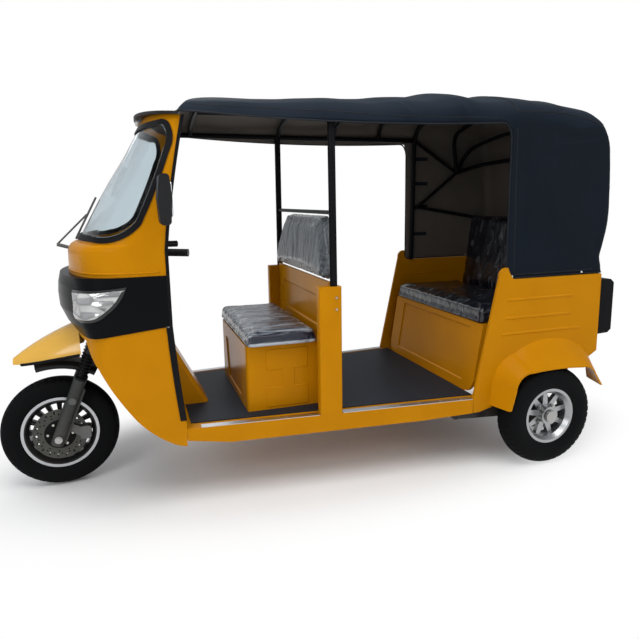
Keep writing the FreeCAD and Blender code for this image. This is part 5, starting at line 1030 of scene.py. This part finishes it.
for name, places, ways in seam_lines:
    thick, width = (0.0007, 0.0032) if "hem" in name else (0.0018, 0.0050)
    welt(name, [p + way * 0.0004 for p, way in zip(places, ways)], ways, thick, width)

# Lock stitches beside the seams: one Geometry Nodes tree walks each line and lays a short thread at
# every step of the needle.
stitch_thread = enamel("stitch_thread", (0.030, 0.034, 0.042), (0.045, 0.050, 0.060), 0.6, dust=0, grain=2500)
dots, runs = [], []
for name, places, ways in seam_lines:
    for shift in (0.0035,) if "hem" in name else (0.006, -0.006):
        runs += [(len(dots) + n, len(dots) + n + 1) for n in range(len(places) - 1)]
        dots += [p + heading(places, n).cross(way).normalized() * shift + way * 0.0006
                 for n, (p, way) in enumerate(zip(places, ways))]
stitch_lines = bpy.data.meshes.new("canopy_stitches")
stitch_lines.from_pydata([tuple(p) for p in dots], runs, [])
kit, entry, leave, add = group_of("lock_stitch", [
    ("Lines", "Geometry"), ("Step", "Float"), ("Length", "Float"), ("Thread", "Float"), ("Finish", "Material")],
    [("Stitches", "Geometry")], "GeometryNodeTree")
curves = add("GeometryNodeMeshToCurve", {0: entry["Lines"]})
spaced = add("GeometryNodeCurveToPoints", {"Curve": curves.outputs[0], "Length": entry["Step"]},
             mode="LENGTH").outputs
thread = add("GeometryNodeMeshCylinder", {"Vertices": 6, "Depth": entry["Length"], "Radius": entry["Thread"]})
turn = add("FunctionNodeAlignRotationToVector", {"Vector": spaced["Tangent"]}, axis="Z")
stamped(add, entry, leave, spaced["Points"], thread.outputs["Mesh"], turn.outputs[0])
grown("canopy_stitches", stitch_lines, kit,
      {"Step": 0.0085, "Length": 0.0055, "Thread": 0.0006, "Finish": stitch_thread}, "body")

# The binding follows the cloth's free edge all the way round.
beside = {}
for (a, b), uses in Counter(pair for polygon in cloth_mesh.polygons for pair in polygon.edge_keys).items():
    if uses == 1:
        beside.setdefault(a, []).append(b)
        beside.setdefault(b, []).append(a)
start = next(iter(beside))
rim_round, here, before = [start], start, None
while True:
    onward = [n for n in beside[here] if n != before]
    if not onward or onward[0] == start:
        break
    before, here = here, onward[0]
    rim_round.append(here)
rim_round.append(start)
welt("canopy_binding", softened([cloth_mesh.vertices[n].co.copy() for n in rim_round], 2),
     [cloth_mesh.vertices[n].normal.copy() for n in rim_round], 0.0028, 0.008)

# White press studs hold the hem to the side panels.
stud_white = enamel("stud_white", (0.72, 0.72, 0.70), (0.62, 0.62, 0.60), 0.3, metal=0.2, dust=0, grain=900)
studs = []
for side in (1, -1):
    for s in (2.033, 2.434):
        hit = on_side(s, 0.905, side)
        if hit:
            studs.append(hit[0] + Vector((0, side * 0.0015, 0)))
heads_on("canopy_studs", studs, (0, 1, 0), 0.0052, 0.004, 14, stud_white, "body")

# Short webbing straps sewn to the lining hold the quarters to the rear posts.
frame_form = form_of(parts["canopy_frame"].data)
strap_size = (0.112, 0.0036, 0.021)
webbing = bmesh.new()
for side in (1, -1):
    struck = [frame_form.ray_cast(Vector((-0.3, side * (0.46 + 0.002 * n), 1.28)), Vector((-1, 0, 0)), 0.7)[0]
              for n in range(22)]
    strap_x = max(p.x for p in struck if p is not None) - 0.070
    for height in (1.508, 1.359, 1.220, 1.050):
        hit = on_skin((strap_x, 0, height), (0, side, 0))
        if hit:
            middle = Vector((strap_x, hit[0].y - side * 0.003, height))
            for v in bmesh.ops.create_cube(webbing, size=1)["verts"]:
                v.co = middle + Vector([a * b for a, b in zip(v.co, strap_size)])
bmesh.ops.bevel(webbing, geom=webbing.edges[:], offset=0.0012, segments=2, affect="EDGES")
piece_of("post_straps", webbing, hem_cloth, "body", "canopy_cloth", smooth_up_to=0)

# ---- Cushions ----
# Foam pads in navy vinyl, boxed and welted, still under the clear film that they are delivered in. Each
# is swelled as cloth from a slightly smaller pad, then the film's crumples are raised on it.


def film_over_vinyl(name, stretch, share, tone, film_haze_and_glint_tone, lines=()):
    """Vinyl seen through crumpled clear film, with painted reflections and haze that make it pale where the film
    stands off and dark where it clings; each line lays a painted highlight along an edge, or with a negative
    strength painted shade.
    """
    finish, surface, add = shader(name)
    spot = add("ShaderNodeTexCoord").outputs["Object"]
    streaks = cloudy(add("ShaderNodeMapping", {"Vector": spot, "Scale": stretch}).outputs[0], 1, 7, 0.62, 0.9)
    film_glint_streaks = ranged(streaks, 0.62 - 0.3 * share, 0.74 - 0.2 * share)
    mask = calc("MULTIPLY", film_glint_streaks, ranged(cloudy(spot, 6, 3), 0.3, 0.6, 0.45))
    torn = ranged(streaks, 0.36, 0.56)
    for keep_axes, line, radius, strength in lines:
        near = ranged(reach_from(spot, keep_axes, line), radius * 0.4, radius, strength, 0)
        mask = calc("ADD", mask, calc("MULTIPLY", near, torn), use_clamp=True)
    feed(surface, {"Base Color": mixed(mask, tone, film_haze_and_glint_tone), "Roughness": ranged(mask, low=0.14, high=0.34),
                   "Specular IOR Level": 0.35, "Coat Weight": 0.35, "Coat Roughness": 0.05})
    grain = add("ShaderNodeTexVoronoi", {"Vector": spot, "Scale": 700}).outputs["Distance"]
    bumped(surface, calc("MULTIPLY_ADD", grain, 0.00008, calc("MULTIPLY", streaks, 0.009)), 0.9)
    return finish


# The lines paint a highlight low on the driver's cushion's near side with painted shade just above it, and a
# highlight along the bench's front top edge.
seat_film = film_over_vinyl("driver_seat_film", (5, 30, 70), 0.62, (0.008, 0.011, 0.026), (0.42, 0.46, 0.52),
                            [((0, 1, 1), (0, 0.372, 0.650), 0.012, 1.6),
                             ((0, 1, 1), (0, 0.374, 0.677), 0.020, -1.8)])
back_film = film_over_vinyl("driver_back_film", (14, 34, 5), 0.50, (0.060, 0.070, 0.078), (0.135, 0.150, 0.165))
bench_film = film_over_vinyl("bench_film", (9, 30, 16), 0.33, (0.006, 0.008, 0.014), (0.105, 0.118, 0.130),
                             [((1, 0, 1), (-0.716, 0, 0.746), 0.009, 1.6)])
bench_back_film = film_over_vinyl("bench_back_film", (20, 24, 9), 0.28, (0.005, 0.006, 0.011), (0.15, 0.165, 0.19))
inset, frames = 0.004, 20
pads = []
for node, finish, voxel, cap, axis, folds in (
        ("driver_cushion", seat_film, 0.007, 0.008, 2, (6, 26, 40)),
        ("driver_backrest", back_film, 0.007, 0.010, 0, (20, 22, 5)),
        ("bench_cushion", bench_film, 0.010, 0.012, 2, (10, 22, 18)),
        ("bench_backrest", bench_back_film, 0.011, 0.012, 0, (16, 18, 9))):
    low_corner, high_corner = [Vector(corner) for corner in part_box(node)]
    middle, size = (low_corner + high_corner) / 2, high_corner - low_corner
    foam = bmesh.new()
    foam.from_mesh(parts[node].data)
    bmesh.ops.remove_doubles(foam, verts=foam.verts, dist=0.00005)
    for v in foam.verts:
        v.co = middle + Vector([(a - m) * (1 - 2 * inset / s) for a, m, s in zip(v.co, middle, size)])
    bmesh.ops.recalc_face_normals(foam, faces=foam.faces)
    start_mesh = bpy.data.meshes.new(node + "_pad")
    foam.to_mesh(start_mesh)
    foam.free()
    pad = bpy.data.objects.new(node + "_pad", start_mesh)
    scene.collection.objects.link(pad)
    skin = pad.modifiers.new("skin", "REMESH")
    skin.mode = "VOXEL"
    skin.voxel_size = voxel
    shape = bpy.data.meshes.new_from_object(pad.evaluated_get(bpy.context.evaluated_depsgraph_get()))
    pad.modifiers.remove(skin)
    pad.data = shape
    held = pad.vertex_groups.new(name="held")
    foot = low_corner[axis] + inset
    held.add([v.index for v in shape.vertices if abs(v.co[axis] - foot) < 0.006], 1, "REPLACE")
    swell = pad.modifiers.new("swell", "CLOTH")
    swell.settings.use_pressure = True
    swell.settings.uniform_pressure_force = 4
    swell.settings.vertex_group_mass = "held"
    swell.settings.quality = 4
    swell.settings.effector_weights.gravity = 0
    swell.point_cache.frame_start = 1
    swell.point_cache.frame_end = frames
    pads.append((node, pad, finish, cap, axis, folds, low_corner, high_corner))
for frame_number in range(1, frames + 1):
    scene.frame_set(frame_number)
for node, pad, finish, cap, axis, folds, low_corner, high_corner in pads:
    before = [v.co.copy() for v in pad.data.vertices]
    swelled = bpy.data.meshes.new_from_object(pad.evaluated_get(bpy.context.evaluated_depsgraph_get()))
    pad.modifiers.clear()
    pad.data = swelled
    shape = pad.data
    foot = low_corner[axis]
    ways = [v.normal.copy() for v in shape.vertices]
    for v, old, way in zip(shape.vertices, before, ways):
        move = v.co - old
        place = old + (move.normalized() * cap if move.length > cap else move)
        fold = noise.noise(Vector([a * b for a, b in zip(place, folds)]) + Vector((3, 5, 9)))
        pucker = noise.noise(Vector([a * b * 2.1 for a, b in zip(place, folds)]))
        rise_by = 0.0030 * (1 - 2 * abs(fold)) - 0.0015 + 0.0010 * pucker
        place = place + way * rise_by * (0.25 if abs(place[axis] - foot) < 0.01 else 1)
        place[axis] = max(place[axis], foot)
        # The driver's cushion is drawn out to the rear, and the backrest leans back on its posts.
        if node == "driver_cushion":
            place.x -= 0.034 * (high_corner.x - place.x) / 0.30
        if node == "driver_backrest":
            place.x -= 0.014 + 0.030 * (place.z - 0.92) / 0.285
        v.co = place
    for polygon in shape.polygons:
        polygon.use_smooth = True
    shape.materials.clear()
    shape.materials.append(finish)
    finer = pad.modifiers.new("finer", "SUBSURF")
    finer.levels = finer.render_levels = 1
    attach(pad, "body")
    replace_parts(pad, node)
